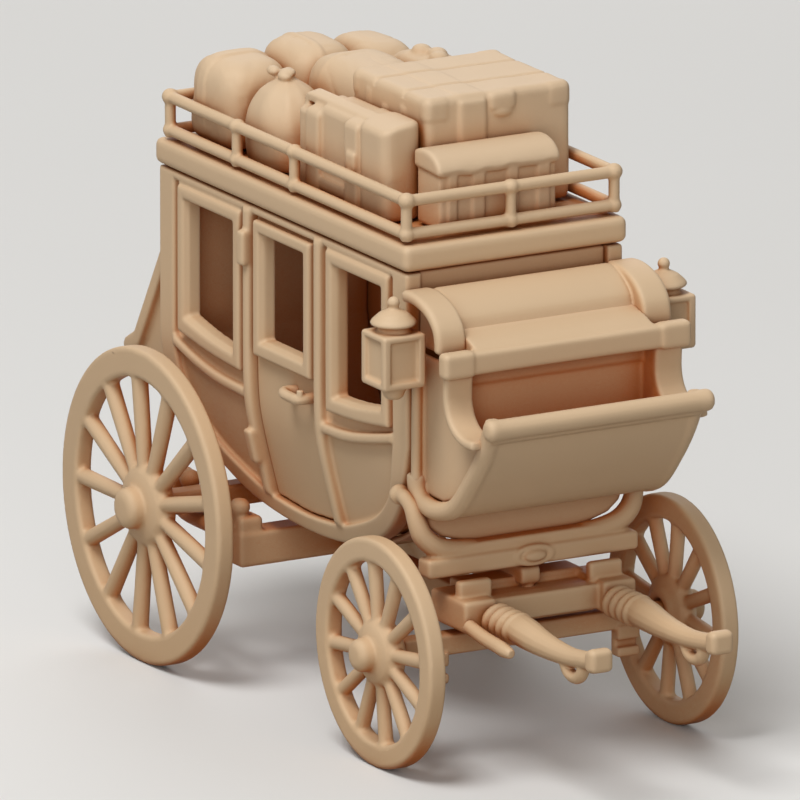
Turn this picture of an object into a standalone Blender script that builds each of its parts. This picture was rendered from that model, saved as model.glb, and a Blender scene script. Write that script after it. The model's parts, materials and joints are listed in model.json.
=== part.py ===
# Model stagecoach: a resin tabletop model built as separate pieces, in metres with +Z up.
# Every shape is built in millimetres; node() scales it to metres. X runs forward, Y to the coach's left.
import math

import bmesh
import bpy
from mathutils import Matrix, Vector

MM = 0.001
SHIFT_X = -8.15

GAP = 0.3
AXLE_GAP = 0.35
WELD = 0.0002
SHARP = math.radians(35)

# Wheels
REAR_AXLE_X = -33.85
FRONT_AXLE_X = 33.85
WHEEL_WIDTH = 2.9
RIM_EDGE = 0.4
HUB_OUT = 3.2
HUB_IN = 1.2
HUB_BORE_END = 0.6
FIRST_SPOKE = math.radians(97)
AXLE_ARM_RADIUS = 1.5
REAR_BEAM = 3.4
FRONT_BEAM = 3.2
REAR_WHEEL = dict(
    radius=24.0, bore=19.5, hub=4.6, collar=7.0, nose=3.4, spokes=13, thin=1.25, thick=1.4, face=27.7
)
FRONT_WHEEL = dict(
    radius=17.3, bore=13.65, hub=3.7, collar=5.3, nose=2.8, spokes=12, thin=1.1, thick=1.25, face=26.3
)

# Cabin: the side is symmetric about its middle, and its outline is (distance from the middle, height)
CABIN_MIDDLE = -7.1
CABIN_TOP = 73.0
WALL = 2.5
BODY_CURVE = (
    (37.3, 73.0), (37.3, 46.5), (35.6, 41.0), (32.6, 36.4), (28.4, 32.3), (23.0, 28.9),
    (16.0, 26.3), (8.0, 25.0), (0.0, 24.6),
)
PANEL_CURVE = (
    (32.9, 71.7), (32.8, 47.2), (31.9, 42.8), (29.8, 38.2), (26.5, 34.9), (22.4, 32.3),
    (16.0, 29.8), (10.0, 28.2), (0.0, 27.4),
)
SIDE_CURVE = (
    (18.3, 73.0), (18.3, 45.2), (17.7, 41.3), (16.6, 37.3), (15.5, 32.1), (14.6, 28.6),
    (13.8, 25.0), (13.2, 22.0),
)
SIDE_FACE = 18.3
PANEL_SUNK = 0.7
MOULDING = 0.5
MOULDING_ROOT = 1.3
PILLAR_OUT = 0.6
REAR_PILLAR = (-18.6, -16.6)
FRONT_PILLAR = (2.7, 4.7)
HINGE_X = -17.6
DOOR_GAP = 0.35
DOOR_FRONT_GAP = 0.6
DOOR_SLANT = 0.8
#          x0 and x1 of the opening, z under its rear and front corners, top, frame width
WINDOWS = {
    "rear": (-36.4, -21.6, 51.8, 49.9, 69.4, 2.0),
    "door": (-13.6, -0.4, 53.3, 53.3, 69.3, 2.0),
    "front": (8.3, 22.9, 49.8, 51.5, 69.5, 2.1),
}
BELTS = (
    ((-40.2, 48.0), (-34.0, 46.2), (-27.0, 45.0), (-18.4, 44.6)),
    ((4.5, 44.6), (11.0, 44.9), (17.5, 46.0), (26.0, 48.0)),
)
BELT_WIDTH = 1.7
DOORWAY_SLACK = 0.2
HINGES = ((33.2, 38.4), (63.8, 69.0))
HINGE_RADIUS = 0.95
HANDLE_RADIUS = 0.8
SHELL_INSET = 0.8
SHELL_PIECES = (("rear_wall", -60.0, -33.2), ("floor", -32.9, 18.7), ("front_wall", 19.0, 40.0))
HANDLE = ((-6.4, 47.2), (-0.2, 47.2))
HANDLE_OUT = 2.5

# Roof
ROOF = (-45.0, 30.8, 18.9, 73.3, 77.4)
RAIL = (-42.2, 28.8, 17.6, 79.8, 83.8)
RAIL_RADIUS = 0.95
POST_RADIUS = 0.85
RAIL_POSTS_X = (-42.2, -21.9, -4.6, 28.8)

# Rear boot, seen from the side
REAR_BOOT = (
    (-44.7, 62.6), (-45.4, 62.6), (-55.6, 44.5), (-59.0, 42.2), (-58.2, 40.6), (-54.4, 41.4),
    (-44.7, 41.4),
)
REAR_BOOT_HALF = 16.6

# Rear gear
CROSS_BEAM = (-24.0, -19.3, 18.5, 16.6, 21.9)
SIDE_BAR_Y = 16.9
SIDE_BAR_RADIUS = 1.35
BOLSTER_END = (4.0, 2.0)
SIDE_BAR = ((-24.3, 20.5), (-37.6, 20.5), (-40.2, 21.6), (-40.9, 24.2), (-39.4, 26.2), (-37.6, 25.9))
KNOB_RADIUS = 1.6
STRAP_Y = (6.4, 10.6)
STRAP_OUT = 0.4
STRAP_REACH = 28.5

# Perch pole, seen from the side
PERCH = (
    (-19.0, 17.1), (18.0, 17.1), (27.0, 24.5), (36.0, 24.5), (36.0, 27.4), (25.0, 27.4),
    (16.5, 19.9), (-19.0, 19.9),
)
PERCH_HALF = 1.6
KINGPIN_RADIUS = 1.0
KINGPIN = (20.6, 25.0)

# Driver's box and front end
BOX_OUTLINE = (
    (30.6, 60.3), (41.4, 60.3), (43.0, 57.6), (45.0, 55.2), (48.4, 53.0), (51.2, 52.2), (50.3, 50.3),
    (46.6, 45.5), (42.6, 41.5), (37.8, 39.7), (33.6, 39.9), (33.4, 44.0), (30.6, 50.0),
)
BOX_PANEL = (
    (33.0, 58.4), (39.0, 58.4), (40.6, 55.6), (42.8, 52.8), (45.6, 50.8), (43.6, 46.8),
    (40.0, 43.4), (36.6, 42.6), (35.6, 45.0), (33.0, 50.6),
)
BOX_SIDE = (15.4, 18.4)
RISER = (39.0, 41.0, 41.2, 60.2)
SEAT_BOARD = ((35.4, 14.9), (41.9, 14.9), (41.9, 19.0), (43.4, 19.0))
SEAT_LOW = 60.6
SEAT_TOP = 64.0
SEAT_BACK = ((31.2, 60.6), (31.2, 70.8), (32.6, 70.8), (34.2, 68.4), (35.1, 65.4), (35.1, 60.6))
SEAT_ARM = (
    (31.2, 60.6), (31.2, 71.4), (34.4, 71.3), (37.4, 69.8), (39.8, 67.0), (41.3, 64.2),
    (41.6, 62.4), (41.6, 60.6),
)
SEAT_ARM_Y = (15.2, 19.2)
LAMP = (33.2, 22.2, 62.0)
LAMP_CASE = 6.8
LAMP_PANE = 4.4
LAMP_HEIGHT = 7.4
LAMP_HAT = (
    (0.0, 9.0), (0.9, 8.7), (1.1, 7.9), (0.9, 7.3), (2.2, 6.6),
    (3.35, 5.2), (3.35, 4.9), (2.4, 4.6), (2.4, 3.0), (0.0, 3.0),
)
LAMP_FOOT = ((0.0, -3.0), (1.8, -3.0), (1.8, -4.6), (1.2, -6.0), (0.0, -6.3))
LAMP_ROOM = (24.9, 36.9, 18.5, 22.5, 54.0, 74.0)
DASH = ((55.0, 55.0), (52.3, 49.6), (48.6, 44.4), (43.6, 39.2), (38.0, 37.4), (33.6, 37.6))
DASH_INNER = ((54.2, 56.0), (50.9, 50.0), (47.1, 45.2), (42.9, 41.0), (37.8, 39.2), (33.6, 39.4))
DASH_ROLL = (18.7, 1.7)

# Front carriage
SHAFT_Y = 10.6
SIDE_ROD_Y = 14.2
#  boxes: x0, x1, y0, y1, z0, z1
BED_RAIL = (30.4, 41.0, 9.0, 14.6, 20.2, 25.0)
BED_BLOCK = (36.4, 38.2, 8.3, 13.9, 24.6, 27.4)
BED_CROSS = (36.5, 39.5, -10.0, 10.0, 20.65, 24.55)
BED_BOLSTER = (31.45, 36.25, -10.0, 10.0, 19.6, 24.0)
AXLE_BRACKET = (33.55, 35.95, 14.3, 18.1, 12.8, 16.4)
CRADLE_BEAM = (32.4, 36.0, -17.9, 17.9, 27.75, 30.65)
CRADLE_BAR = (32.3, 35.3, -14.0, 14.0, 30.4, 32.4)
CRADLE_ARM_RADIUS = 1.2
BOSS = (35.4, 36.9, 29.3, 1.0, 0.8, 2.6)
SIDE_ROD = ((41.4, 21.6), (46.0, 20.9), (51.0, 20.2))
SIDE_ROD_RADIUS = 0.9
CRADLE_ARM = (
    (33.8, 13.0, 32.0), (33.2, 16.2, 34.0), (31.9, 18.4, 36.4), (30.9, 19.4, 38.8),
    (29.5, 19.6, 40.2), (28.0, 19.6, 39.4),
)
SHAFT_LINE = (
    (41.4, 22.3), (43.0, 22.3), (45.6, 22.5), (48.6, 22.6), (51.4, 22.4), (57.2, 21.9),
    (64.0, 21.9), (69.0, 22.5), (73.6, 23.3),
)
SHAFT_RADII = (2.2, 2.5, 2.6, 2.7, 2.4, 1.85, 1.5, 1.4, 1.5)
SHAFT_TIP = (72.6, 75.3, 23.4, 3.8)
EYE_STEPS = 12
SHAFT_EYE = (68.2, 20.4, 3.4, 1.5, 0.75)

# Roof load, standing on the roof: x0, x1, y0, y1, top, squareness
TIE_OFFSET = 0.2
SOFT_LOAD = {
    "tied_sack": (-27.0, -13.2, -15.6, -4.9, 88.2, 2.7),
    "rear_bedroll": (-40.9, -27.4, -15.8, -4.9, 90.6, 3.1),
    "rear_sack": (-40.6, -26.4, -4.5, 6.4, 92.6, 2.8),
    "middle_sack": (-26.0, -4.2, -4.5, 7.4, 92.6, 3.4),
    "far_sack": (-40.4, -24.4, 6.8, 16.0, 91.6, 2.8),
    "far_bale": (-24.0, -4.2, 7.8, 16.0, 92.8, 4.2),
}
#  x0, x1, y0, y1, top, rounding of the edges
HARD_LOAD = {
    "big_chest": (-3.8, 19.0, -9.0, 15.6, 95.6, 1.5),
    "side_trunk": (-8.8, 18.1, -15.7, -9.3, 89.4, 1.4),
}
FRONT_TRUNK = (
    (19.4, 77.7), (27.2, 77.7), (27.2, 87.2), (26.7, 88.5),
    (25.4, 89.7), (23.2, 90.2), (21.2, 90.0), (19.4, 89.0),
)
FRONT_TRUNK_Y = (-11.2, 9.6)


def clear_scene():
    for thing in list(bpy.data.objects):
        bpy.data.objects.remove(thing, do_unlink=True)
    for group in list(bpy.data.collections):
        bpy.data.collections.remove(group)


clear_scene()
PARTS = bpy.data.collections.new("model_stagecoach")
TOOLS = bpy.data.collections.new("cutters")
bpy.context.scene.collection.children.link(PARTS)
bpy.context.scene.collection.children.link(TOOLS)
TOOLS.hide_render = True


def resin(name, colour, roughness):
    material = bpy.data.materials.new(name)
    material.use_nodes = True
    shader = material.node_tree.nodes["Principled BSDF"]
    shader.inputs["Base Color"].default_value = (*colour, 1.0)
    shader.inputs["Roughness"].default_value = roughness
    shader.inputs["Metallic"].default_value = 0.0
    material.diffuse_color = (*colour, 1.0)
    return material


BODY_RESIN = resin("body_resin", (0.66, 0.47, 0.30), 0.6)
GEAR_RESIN = resin("gear_resin", (0.62, 0.44, 0.28), 0.6)
LOAD_RESIN = resin("load_resin", (0.68, 0.50, 0.33), 0.62)


def place(x, y, z):
    """World point of a place given in millimetres."""
    return Vector(((x + SHIFT_X) * MM, y * MM, z * MM))


def node(name, mesh, material, origin=(0.0, 0.0, 0.0)):
    """A named piece of the coach; the mesh is in millimetres around the origin."""
    if not mesh.materials:
        mesh.name = name
        mesh.transform(Matrix.Scale(MM, 4))
        mesh.materials.append(material)
        mesh.shade_smooth()
        mesh.set_sharp_from_angle(angle=SHARP)
    thing = bpy.data.objects.new(name, mesh)
    PARTS.objects.link(thing)
    thing.location = place(*origin)
    return thing


def made_mesh(name, build):
    """Runs build(bm) in millimetres and returns the mesh, still in millimetres."""
    bm = bmesh.new()
    build(bm)
    mesh = bpy.data.meshes.new(name)
    bm.to_mesh(mesh)
    bm.free()
    return mesh


def box_mesh(name, size, centre=(0.0, 0.0, 0.0)):
    def build(bm):
        matrix = Matrix.Translation(centre) @ Matrix.Diagonal((*size, 1.0))
        bmesh.ops.create_cube(bm, size=1.0, matrix=matrix)

    return made_mesh(name, build)


def limits_mesh(name, limits, side=1):
    """A box between limits, mirrored to the coach's right for side -1."""
    x0, x1, y0, y1, z0, z1 = limits
    return box_mesh(name, (x1 - x0, y1 - y0, z1 - z0), ((x0 + x1) / 2, side * (y0 + y1) / 2, (z0 + z1) / 2))


def rod_mesh(name, start, end, r1, r2, sides=16):
    """A capped cone or cylinder between two points."""
    a = Vector(start)
    b = Vector(end)
    turn = (b - a).to_track_quat("Z", "Y").to_matrix().to_4x4()

    def build(bm):
        bmesh.ops.create_cone(
            bm,
            cap_ends=True,
            segments=sides,
            radius1=r1,
            radius2=r2,
            depth=(b - a).length,
            matrix=Matrix.Translation((a + b) / 2) @ turn,
        )

    return made_mesh(name, build)


def ball_mesh(name, centre, radius, squash=(1.0, 1.0, 1.0), turns=16, rings=10):
    def build(bm):
        matrix = Matrix.Translation(centre) @ Matrix.Diagonal((*squash, 1.0))
        bmesh.ops.create_uvsphere(bm, u_segments=turns, v_segments=rings, radius=radius, matrix=matrix)

    return made_mesh(name, build)


def helper(name, mesh):
    thing = bpy.data.objects.new(name, mesh)
    TOOLS.objects.link(thing)
    thing.display_type = "WIRE"
    thing.hide_render = True
    return thing


def frozen(thing, name):
    """The evaluated mesh of an object, in its own frame, with close points welded."""
    bpy.context.view_layer.update()
    graph = bpy.context.evaluated_depsgraph_get()
    mesh = bpy.data.meshes.new_from_object(thing.evaluated_get(graph))
    mesh.name = name
    bm = bmesh.new()
    bm.from_mesh(mesh)
    bmesh.ops.remove_doubles(bm, verts=bm.verts, dist=WELD)
    bmesh.ops.transform(bm, matrix=thing.matrix_world, verts=bm.verts)
    bmesh.ops.recalc_face_normals(bm, faces=bm.faces)
    bm.to_mesh(mesh)
    bm.free()
    mesh.materials.clear()
    return mesh


def drop(*things):
    for thing in things:
        bpy.data.objects.remove(thing, do_unlink=True)


def plate_mesh(name, loops, low, high, axis="Y"):
    """An outline with holes, extruded between two values of one axis."""
    curve = bpy.data.curves.new(name, "CURVE")
    curve.dimensions = "2D"
    curve.fill_mode = "BOTH"
    curve.extrude = abs(high - low) / 2
    for loop in loops:
        spline = curve.splines.new("POLY")
        spline.points.add(len(loop) - 1)
        for point, (a, b) in zip(spline.points, loop):
            point.co = (a, b, 0.0, 1.0)
        spline.use_cyclic_u = True
    thing = helper(name, curve)
    middle = (low + high) / 2
    if axis == "Y":
        thing.matrix_world = Matrix.Translation((0, middle, 0)) @ Matrix.Rotation(math.pi / 2, 4, "X")
    elif axis == "X":
        turn = Matrix(((0, 0, 1, 0), (1, 0, 0, 0), (0, 1, 0, 0), (0, 0, 0, 1)))
        thing.matrix_world = Matrix.Translation((middle, 0, 0)) @ turn
    else:
        thing.matrix_world = Matrix.Translation((0, 0, middle))
    mesh = frozen(thing, name)
    drop(thing)
    return mesh


def turned_mesh(name, profile, axis="Z", steps=32):
    """A solid of revolution: profile points are (radius, height) from top to bottom."""
    mesh = bpy.data.meshes.new(name)
    points = [(r, 0.0, h) for r, h in profile]
    mesh.from_pydata(points, [(i, i + 1) for i in range(len(points) - 1)], [])
    thing = helper(name, mesh)
    screw = thing.modifiers.new("turn", "SCREW")
    screw.steps = steps
    screw.render_steps = steps
    screw.use_merge_vertices = True
    screw.merge_threshold = 0.0001
    if axis == "Y":
        thing.rotation_euler = (math.pi / 2, 0.0, 0.0)
    elif axis == "X":
        thing.rotation_euler = (0.0, math.pi / 2, 0.0)
    result = frozen(thing, name)
    drop(thing)
    return result


def tube_mesh(name, points, radius, cyclic=False, taper=None, resolution=2):
    curve = bpy.data.curves.new(name, "CURVE")
    curve.dimensions = "3D"
    curve.bevel_depth = radius
    curve.bevel_resolution = resolution
    curve.use_fill_caps = True
    spline = curve.splines.new("POLY")
    spline.points.add(len(points) - 1)
    for i, (point, co) in enumerate(zip(spline.points, points)):
        point.co = (*co, 1.0)
        point.radius = 1.0 if taper is None else taper[i]
    spline.use_cyclic_u = cyclic
    thing = helper(name, curve)
    mesh = frozen(thing, name)
    drop(thing)
    return mesh


def combined(name, base, adds=(), cuts=(), keeps=(), soften=0.0):
    """Unites, intersects and cuts meshes with exact Booleans and returns one mesh."""
    thing = helper(name, base)
    tools = []
    for kind, meshes in (("UNION", adds), ("INTERSECT", keeps), ("DIFFERENCE", cuts)):
        for mesh in meshes:
            tool = helper(name + "_tool", mesh)
            tools.append(tool)
            modifier = thing.modifiers.new(kind.lower(), "BOOLEAN")
            modifier.operation = kind
            modifier.solver = "EXACT"
            modifier.object = tool
    if soften:
        bevel = thing.modifiers.new("soften", "BEVEL")
        bevel.width = soften
        bevel.segments = 1
        bevel.limit_method = "ANGLE"
        bevel.angle_limit = math.radians(40)
    mesh = frozen(thing, name)
    drop(thing, *tools)
    return mesh


def softened_box(name, size, material, origin, width=0.4, segments=2):
    thing = helper(name, box_mesh(name, size))
    bevel = thing.modifiers.new("soft edges", "BEVEL")
    bevel.width = width
    bevel.segments = segments
    mesh = frozen(thing, name)
    drop(thing)
    return node(name, mesh, material, origin)


def inset(half, distance):
    """The half outline moved inwards, or outwards for a negative distance."""
    moved = []
    for i, (x, z) in enumerate(half):
        before = Vector(half[max(i - 1, 0)])
        after = Vector(half[min(i + 1, len(half) - 1)])
        here = Vector((x, z))
        first = (here - before).normalized() if i else (after - here).normalized()
        second = (after - here).normalized() if i < len(half) - 1 else first
        along = (first + second).normalized()
        stretch = max(along.dot(first), 0.5)
        moved.append((x + along.y * distance / stretch, z - along.x * distance / stretch))
    moved[-1] = (0.0, moved[-1][1])
    return moved


def whole(half):
    """The whole outline from its front half, which runs from the top down to the middle of the foot."""
    front = [(CABIN_MIDDLE + x, z) for x, z in half]
    rear = [(CABIN_MIDDLE - x, z) for x, z in half[-2::-1]]
    return front + rear


def height_at(half, x):
    """Height of the foot of a half outline at a place along the cabin."""
    away = abs(x - CABIN_MIDDLE)
    for (x0, z0), (x1, z1) in zip(half, half[1:]):
        if x1 <= away <= x0 and x0 > x1:
            return z1 + (z0 - z1) * (away - x1) / (x0 - x1)
    return half[-1][1]


def side_y(z):
    """How far out the cabin's side stands at a height."""
    for (y0, z0), (y1, z1) in zip(SIDE_CURVE, SIDE_CURVE[1:]):
        if z1 <= z <= z0:
            return y1 + (y0 - y1) * (z - z1) / (z0 - z1)
    return SIDE_CURVE[0][0] if z > SIDE_CURVE[0][1] else SIDE_CURVE[-1][0]


def curved(mesh, side):
    """Bends a flat side of the cabin in to its foot, and mirrors it for the coach's right."""
    bm = bmesh.new()
    bm.from_mesh(mesh)
    for _, z in SIDE_CURVE[1:-1]:
        everything = bm.verts[:] + bm.edges[:] + bm.faces[:]
        level = Vector((0.0, 0.0, z))
        bmesh.ops.bisect_plane(bm, geom=everything, dist=0.001, plane_co=level, plane_no=(0.0, 0.0, 1.0))
    for vertex in bm.verts:
        vertex.co.y = (vertex.co.y - SIDE_FACE + side_y(vertex.co.z)) * side
    if side < 0:
        bmesh.ops.reverse_faces(bm, faces=bm.faces)
    bm.to_mesh(mesh)
    bm.free()
    return mesh


def slab(name, loop, depth, proud):
    """A flat plate of the cabin's side, from its depth behind the face to how far it stands proud."""
    return plate_mesh(name, [list(loop)], SIDE_FACE - depth, SIDE_FACE + proud)


def box_loop(x0, x1, z0, z1):
    return [(x0, z0), (x1, z0), (x1, z1), (x0, z1)]


def window_loop(key, margin=0.0):
    """A window's opening, or its frame's outline when a margin is given."""
    x0, x1, z0, z1, top, _ = WINDOWS[key]
    down = margin * 1.15
    left, right, high = x0 - margin, x1 + margin, top + margin
    return [(left, z0 - down), (right, z1 - down), (right, high), (left, high)]


def door_loop(gap, front_gap):
    """The doorway between its pillars, or the door's leaf when gaps are given."""
    x0 = REAR_PILLAR[1] + gap
    x1 = FRONT_PILLAR[0] - front_gap
    spots = [x0, CABIN_MIDDLE - 5.0, CABIN_MIDDLE, CABIN_MIDDLE + 5.0, x1]
    foot = [(x, height_at(PANEL_CURVE, x) + gap - DOORWAY_SLACK) for x in spots]
    top = PANEL_CURVE[0][1] + DOORWAY_SLACK - gap
    return foot + [(x1, top), (x0, top)]


def belt_loop(line):
    under = [(x, z - BELT_WIDTH) for x, z in reversed(line)]
    return list(line) + under


def cabin_sides():
    for label, side in (("right", -1), ("left", 1)):
        name = "side_panel_" + label
        wall = slab("wall", whole(BODY_CURVE), WALL, 0.0)
        pocket = slab("pocket", whole(PANEL_CURVE), PANEL_SUNK, 2.0)
        wall = combined(name, wall, cuts=[pocket])
        trims = []
        for key in ("rear", "front"):
            trims.append(slab("frame", window_loop(key, WINDOWS[key][5]), MOULDING_ROOT, MOULDING))
        trims += [slab("belt", belt_loop(line), MOULDING_ROOT, MOULDING - 0.1) for line in BELTS]
        for x0, x1 in (REAR_PILLAR, FRONT_PILLAR):
            inner = (x0, x1 + 1.0) if x0 < CABIN_MIDDLE else (x0 - 1.0, x1)
            loop = box_loop(*inner, height_at(PANEL_CURVE, (x0 + x1) / 2) - 0.4, CABIN_TOP - 0.6)
            trims.append(slab("pillar", loop, MOULDING_ROOT + 0.1, PILLAR_OUT))
        cuts = [slab("window", window_loop(key), 5.0, 5.0) for key in ("rear", "front")]
        cuts.append(slab("doorway", door_loop(0.0, 0.0), 5.0, 5.0))
        wall = curved(combined(name, wall, adds=trims, cuts=cuts), side)
        knuckles = []
        for low, high in HINGES:
            spot = side * (side_y((low + high) / 2) + PILLAR_OUT)
            ends = (HINGE_X, spot, low), (HINGE_X, spot, high)
            knuckles.append(rod_mesh("knuckle", *ends, HINGE_RADIUS, HINGE_RADIUS, 10))
        node(name, combined(name, wall, adds=knuckles), BODY_RESIN)


def doors():
    for label, side in (("right", -1), ("left", 1)):
        name = "door_" + label
        leaf = slab("leaf", door_loop(DOOR_GAP, DOOR_FRONT_GAP), WALL, -PANEL_SUNK)
        leaf = slanted(leaf, FRONT_PILLAR[0] - DOOR_FRONT_GAP)
        frame = slab("frame", window_loop("door", WINDOWS["door"][5]), MOULDING_ROOT, MOULDING)
        window = slab("window", window_loop("door"), 5.0, 5.0)
        leaf = curved(combined(name, leaf, adds=[frame], cuts=[window]), side)
        (x0, z0), (x1, z1) = HANDLE
        out = side * (SIDE_FACE + HANDLE_OUT - 1.0)
        root = side * (SIDE_FACE - 1.5)
        bar = [(x0 - 0.6, root, z0), (x0, out, z0), (x1, out, z1), (x1 + 0.6, root, z1)]
        leaf = combined(name, leaf, adds=[tube_mesh("handle", bar, HANDLE_RADIUS, resolution=1)])
        leaf.transform(Matrix.Translation((-HINGE_X, -side * SIDE_FACE, 0.0)))
        node(name, leaf, BODY_RESIN, (HINGE_X, side * SIDE_FACE, 0.0))


def slanted(mesh, front):
    """Shortens the inner side of the door's front edge, so the door clears its jamb as it swings."""
    for vertex in mesh.vertices:
        if vertex.co.x > front - 0.01 and vertex.co.y < SIDE_FACE - WALL + 0.01:
            vertex.co.x -= DOOR_SLANT
    return mesh


def end_walls():
    outer = whole(inset(BODY_CURVE, SHELL_INSET))
    inner = whole(inset(BODY_CURVE, SHELL_INSET + WALL))
    strip_loop = outer + inner[::-1]
    section = [(y - WALL - GAP, z) for y, z in SIDE_CURVE]
    section += [(-y, z) for y, z in reversed(section)]
    reach = SIDE_FACE
    for name, x0, x1 in SHELL_PIECES:
        strip = plate_mesh(name, [strip_loop], -reach, reach)
        tunnel = plate_mesh("tunnel", [section], x0, x1, "X")
        node(name, combined(name, strip, keeps=[tunnel]), BODY_RESIN)


def roof():
    x0, x1, half, z0, z1 = ROOF
    softened_box("roof", (x1 - x0, 2 * half, z1 - z0), BODY_RESIN, ((x0 + x1) / 2, 0.0, (z0 + z1) / 2), 0.9)


def roof_rail():
    x0, x1, half, low, high = RAIL
    foot = ROOF[4] + GAP
    rods = []
    for z in (low, high):
        corners = [(x0, -half, z), (x1, -half, z), (x1, half, z), (x0, half, z)]
        rods.append(tube_mesh("rail", corners, RAIL_RADIUS, cyclic=True, resolution=1))
    spots = [(x, side * half) for x in RAIL_POSTS_X for side in (-1, 1)] + [(x0, 0.0), (x1, 0.0)]
    for x, y in spots:
        rods.append(rod_mesh("post", (x, y, foot), (x, y, high + 0.2), POST_RADIUS, POST_RADIUS, 7))
        for z in (low, high):
            rods.append(ball_mesh("knob", (x, y, z + 0.05), RAIL_RADIUS + 0.35, turns=7, rings=5))
    node("roof_rail", combined("roof_rail", rods[0], adds=rods[1:]), BODY_RESIN)


def pillow_mesh(name, size, squareness, turns=16, rings=10):
    """A stuffed form: a ball swelled towards its box by its squareness."""

    def swell(bm):
        bmesh.ops.create_uvsphere(bm, u_segments=turns, v_segments=rings, radius=1.0)
        power = 2.0 / squareness
        for vertex in bm.verts:
            vertex.co = Vector([math.copysign(abs(c) ** power, c) for c in vertex.co])
            vertex.co = Vector([c * half for c, half in zip(vertex.co, size)])

    return made_mesh(name, swell)


def luggage():
    deck = ROOF[4] + GAP
    for name, (x0, x1, y0, y1, top, squareness) in SOFT_LOAD.items():
        size = ((x1 - x0) / 2, (y1 - y0) / 2, (top - deck) / 2)
        centre = ((x0 + x1) / 2, (y0 + y1) / 2, (top + deck) / 2)
        mesh = pillow_mesh(name, size, squareness)
        if name == "tied_sack":
            neck = ball_mesh("knot", (TIE_OFFSET, 0.0, size[2]), 1.9, (1.0, 1.0, 1.5), 12, 8)
            mesh = combined(name, mesh, adds=[neck])
        node(name, mesh, LOAD_RESIN, centre)
    for name, (x0, x1, y0, y1, top, rounding) in HARD_LOAD.items():
        size = (x1 - x0, y1 - y0, top - deck)
        softened_box(name, size, LOAD_RESIN, ((x0 + x1) / 2, (y0 + y1) / 2, (top + deck) / 2), rounding, 3)
    node("front_trunk", plate_mesh("front_trunk", [list(FRONT_TRUNK)], *FRONT_TRUNK_Y), LOAD_RESIN)


def driver_box():
    near, far = BOX_SIDE
    sides = []
    for side in (-1, 1):
        plate = plate_mesh("box_side", [list(BOX_OUTLINE)], side * near, side * far)
        pocket = plate_mesh("pocket", [list(BOX_PANEL)], side * (far - PANEL_SUNK), side * (far + 1.0))
        sides.append(combined("box_side", plate, cuts=[pocket]))
    x0, x1, z0, z1 = RISER
    riser = limits_mesh("riser", (x0, x1, -near - 0.5, near + 0.5, z0, z1))
    node("driver_box", combined("driver_box", riser, adds=sides), BODY_RESIN)


def dash():
    plate = plate_mesh("dash", [list(DASH) + list(DASH_INNER)[::-1]], -SIDE_FACE, SIDE_FACE)
    x, z = DASH[0]
    roll = rod_mesh("roll", (x, -DASH_ROLL[0], z), (x, DASH_ROLL[0], z), DASH_ROLL[1], DASH_ROLL[1])
    node("dash_board", combined("dash_board", plate, adds=[roll]), BODY_RESIN)


def driver_seat():
    right = [(x, -y) for x, y in SEAT_BOARD]
    left = [(x, y) for x, y in reversed(SEAT_BOARD)]
    node("seat_board", plate_mesh("seat_board", [right + left], SEAT_LOW, SEAT_TOP, "Z"), BODY_RESIN)
    near, far = SEAT_ARM_Y
    back = plate_mesh("back", [list(SEAT_BACK)], -near - 1.0, near + 1.0)
    arms = [plate_mesh("arm", [list(SEAT_ARM)], side * near, side * far) for side in (-1, 1)]
    lamp_room = [limits_mesh("room", LAMP_ROOM, side) for side in (-1, 1)]
    node("seat_back", combined("seat_back", back, adds=arms, cuts=lamp_room), BODY_RESIN)


def lamps():
    for label, side in (("right", -1), ("left", 1)):
        x, y, z = LAMP[0], side * LAMP[1], LAMP[2]
        base = box_mesh("case", (LAMP_CASE, LAMP_CASE, LAMP_HEIGHT), (x, y, z))
        panes = []
        for dx, dy in ((1, 0), (-1, 0), (0, side)):
            centre = (x + dx * LAMP_CASE / 2, y + dy * LAMP_CASE / 2, z - 0.1)
            sunk = 2 * PANEL_SUNK
            size = (LAMP_PANE if dy else sunk, LAMP_PANE if dx else sunk, LAMP_PANE + 0.6)
            panes.append(box_mesh("pane", size, centre))
        top = turned_mesh("hat", LAMP_HAT, "Z", 16)
        foot = turned_mesh("foot", LAMP_FOOT, "Z", 12)
        for piece in (top, foot):
            piece.transform(Matrix.Translation((x, y, z)))
        node("lamp_" + label, combined("lamp_" + label, base, adds=[top, foot], cuts=panes), BODY_RESIN)


def rear_boot():
    mesh = plate_mesh("rear_boot", [list(REAR_BOOT)], -REAR_BOOT_HALF, REAR_BOOT_HALF)
    node("rear_boot", mesh, BODY_RESIN)


def wheel_mesh(name, spec):
    """A spoked wheel with its axis along Y, its outer face towards -Y, centred on the rim."""
    half = WHEEL_WIDTH / 2
    edge = RIM_EDGE
    r, b = spec["radius"], spec["bore"]
    ring = [(b, half), (r - edge, half), (r, half - edge)]
    ring += [(r, edge - half), (r - edge, -half), (b, -half), (b, half)]
    rim = turned_mesh(name + "_rim", ring, "Y", 32)
    hub, collar, nose = spec["hub"], spec["collar"], spec["nose"]
    bore = AXLE_ARM_RADIUS + AXLE_GAP
    outer = half + HUB_OUT
    inner = -half - HUB_IN
    profile = [(0.0, outer), (nose - 0.6, outer), (nose, outer - 0.6), (nose, half + 1.2)]
    profile += [(collar - 0.6, half + 0.9), (collar, half), (collar, half - 0.7), (hub, half - 1.0)]
    profile += [(hub, inner), (bore, inner), (bore, HUB_BORE_END), (0.0, HUB_BORE_END)]
    centre = turned_mesh(name + "_hub", profile, "Y", 14)
    spokes = []
    for i in range(spec["spokes"]):
        angle = 2 * math.pi * i / spec["spokes"] + FIRST_SPOKE
        out = Vector((math.cos(angle), 0.0, math.sin(angle)))
        spokes.append(rod_mesh("spoke", out * (hub - 1.2), out * (b + 1.0), spec["thin"], spec["thick"], 6))
    return combined(name, rim, adds=[centre] + spokes)


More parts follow.
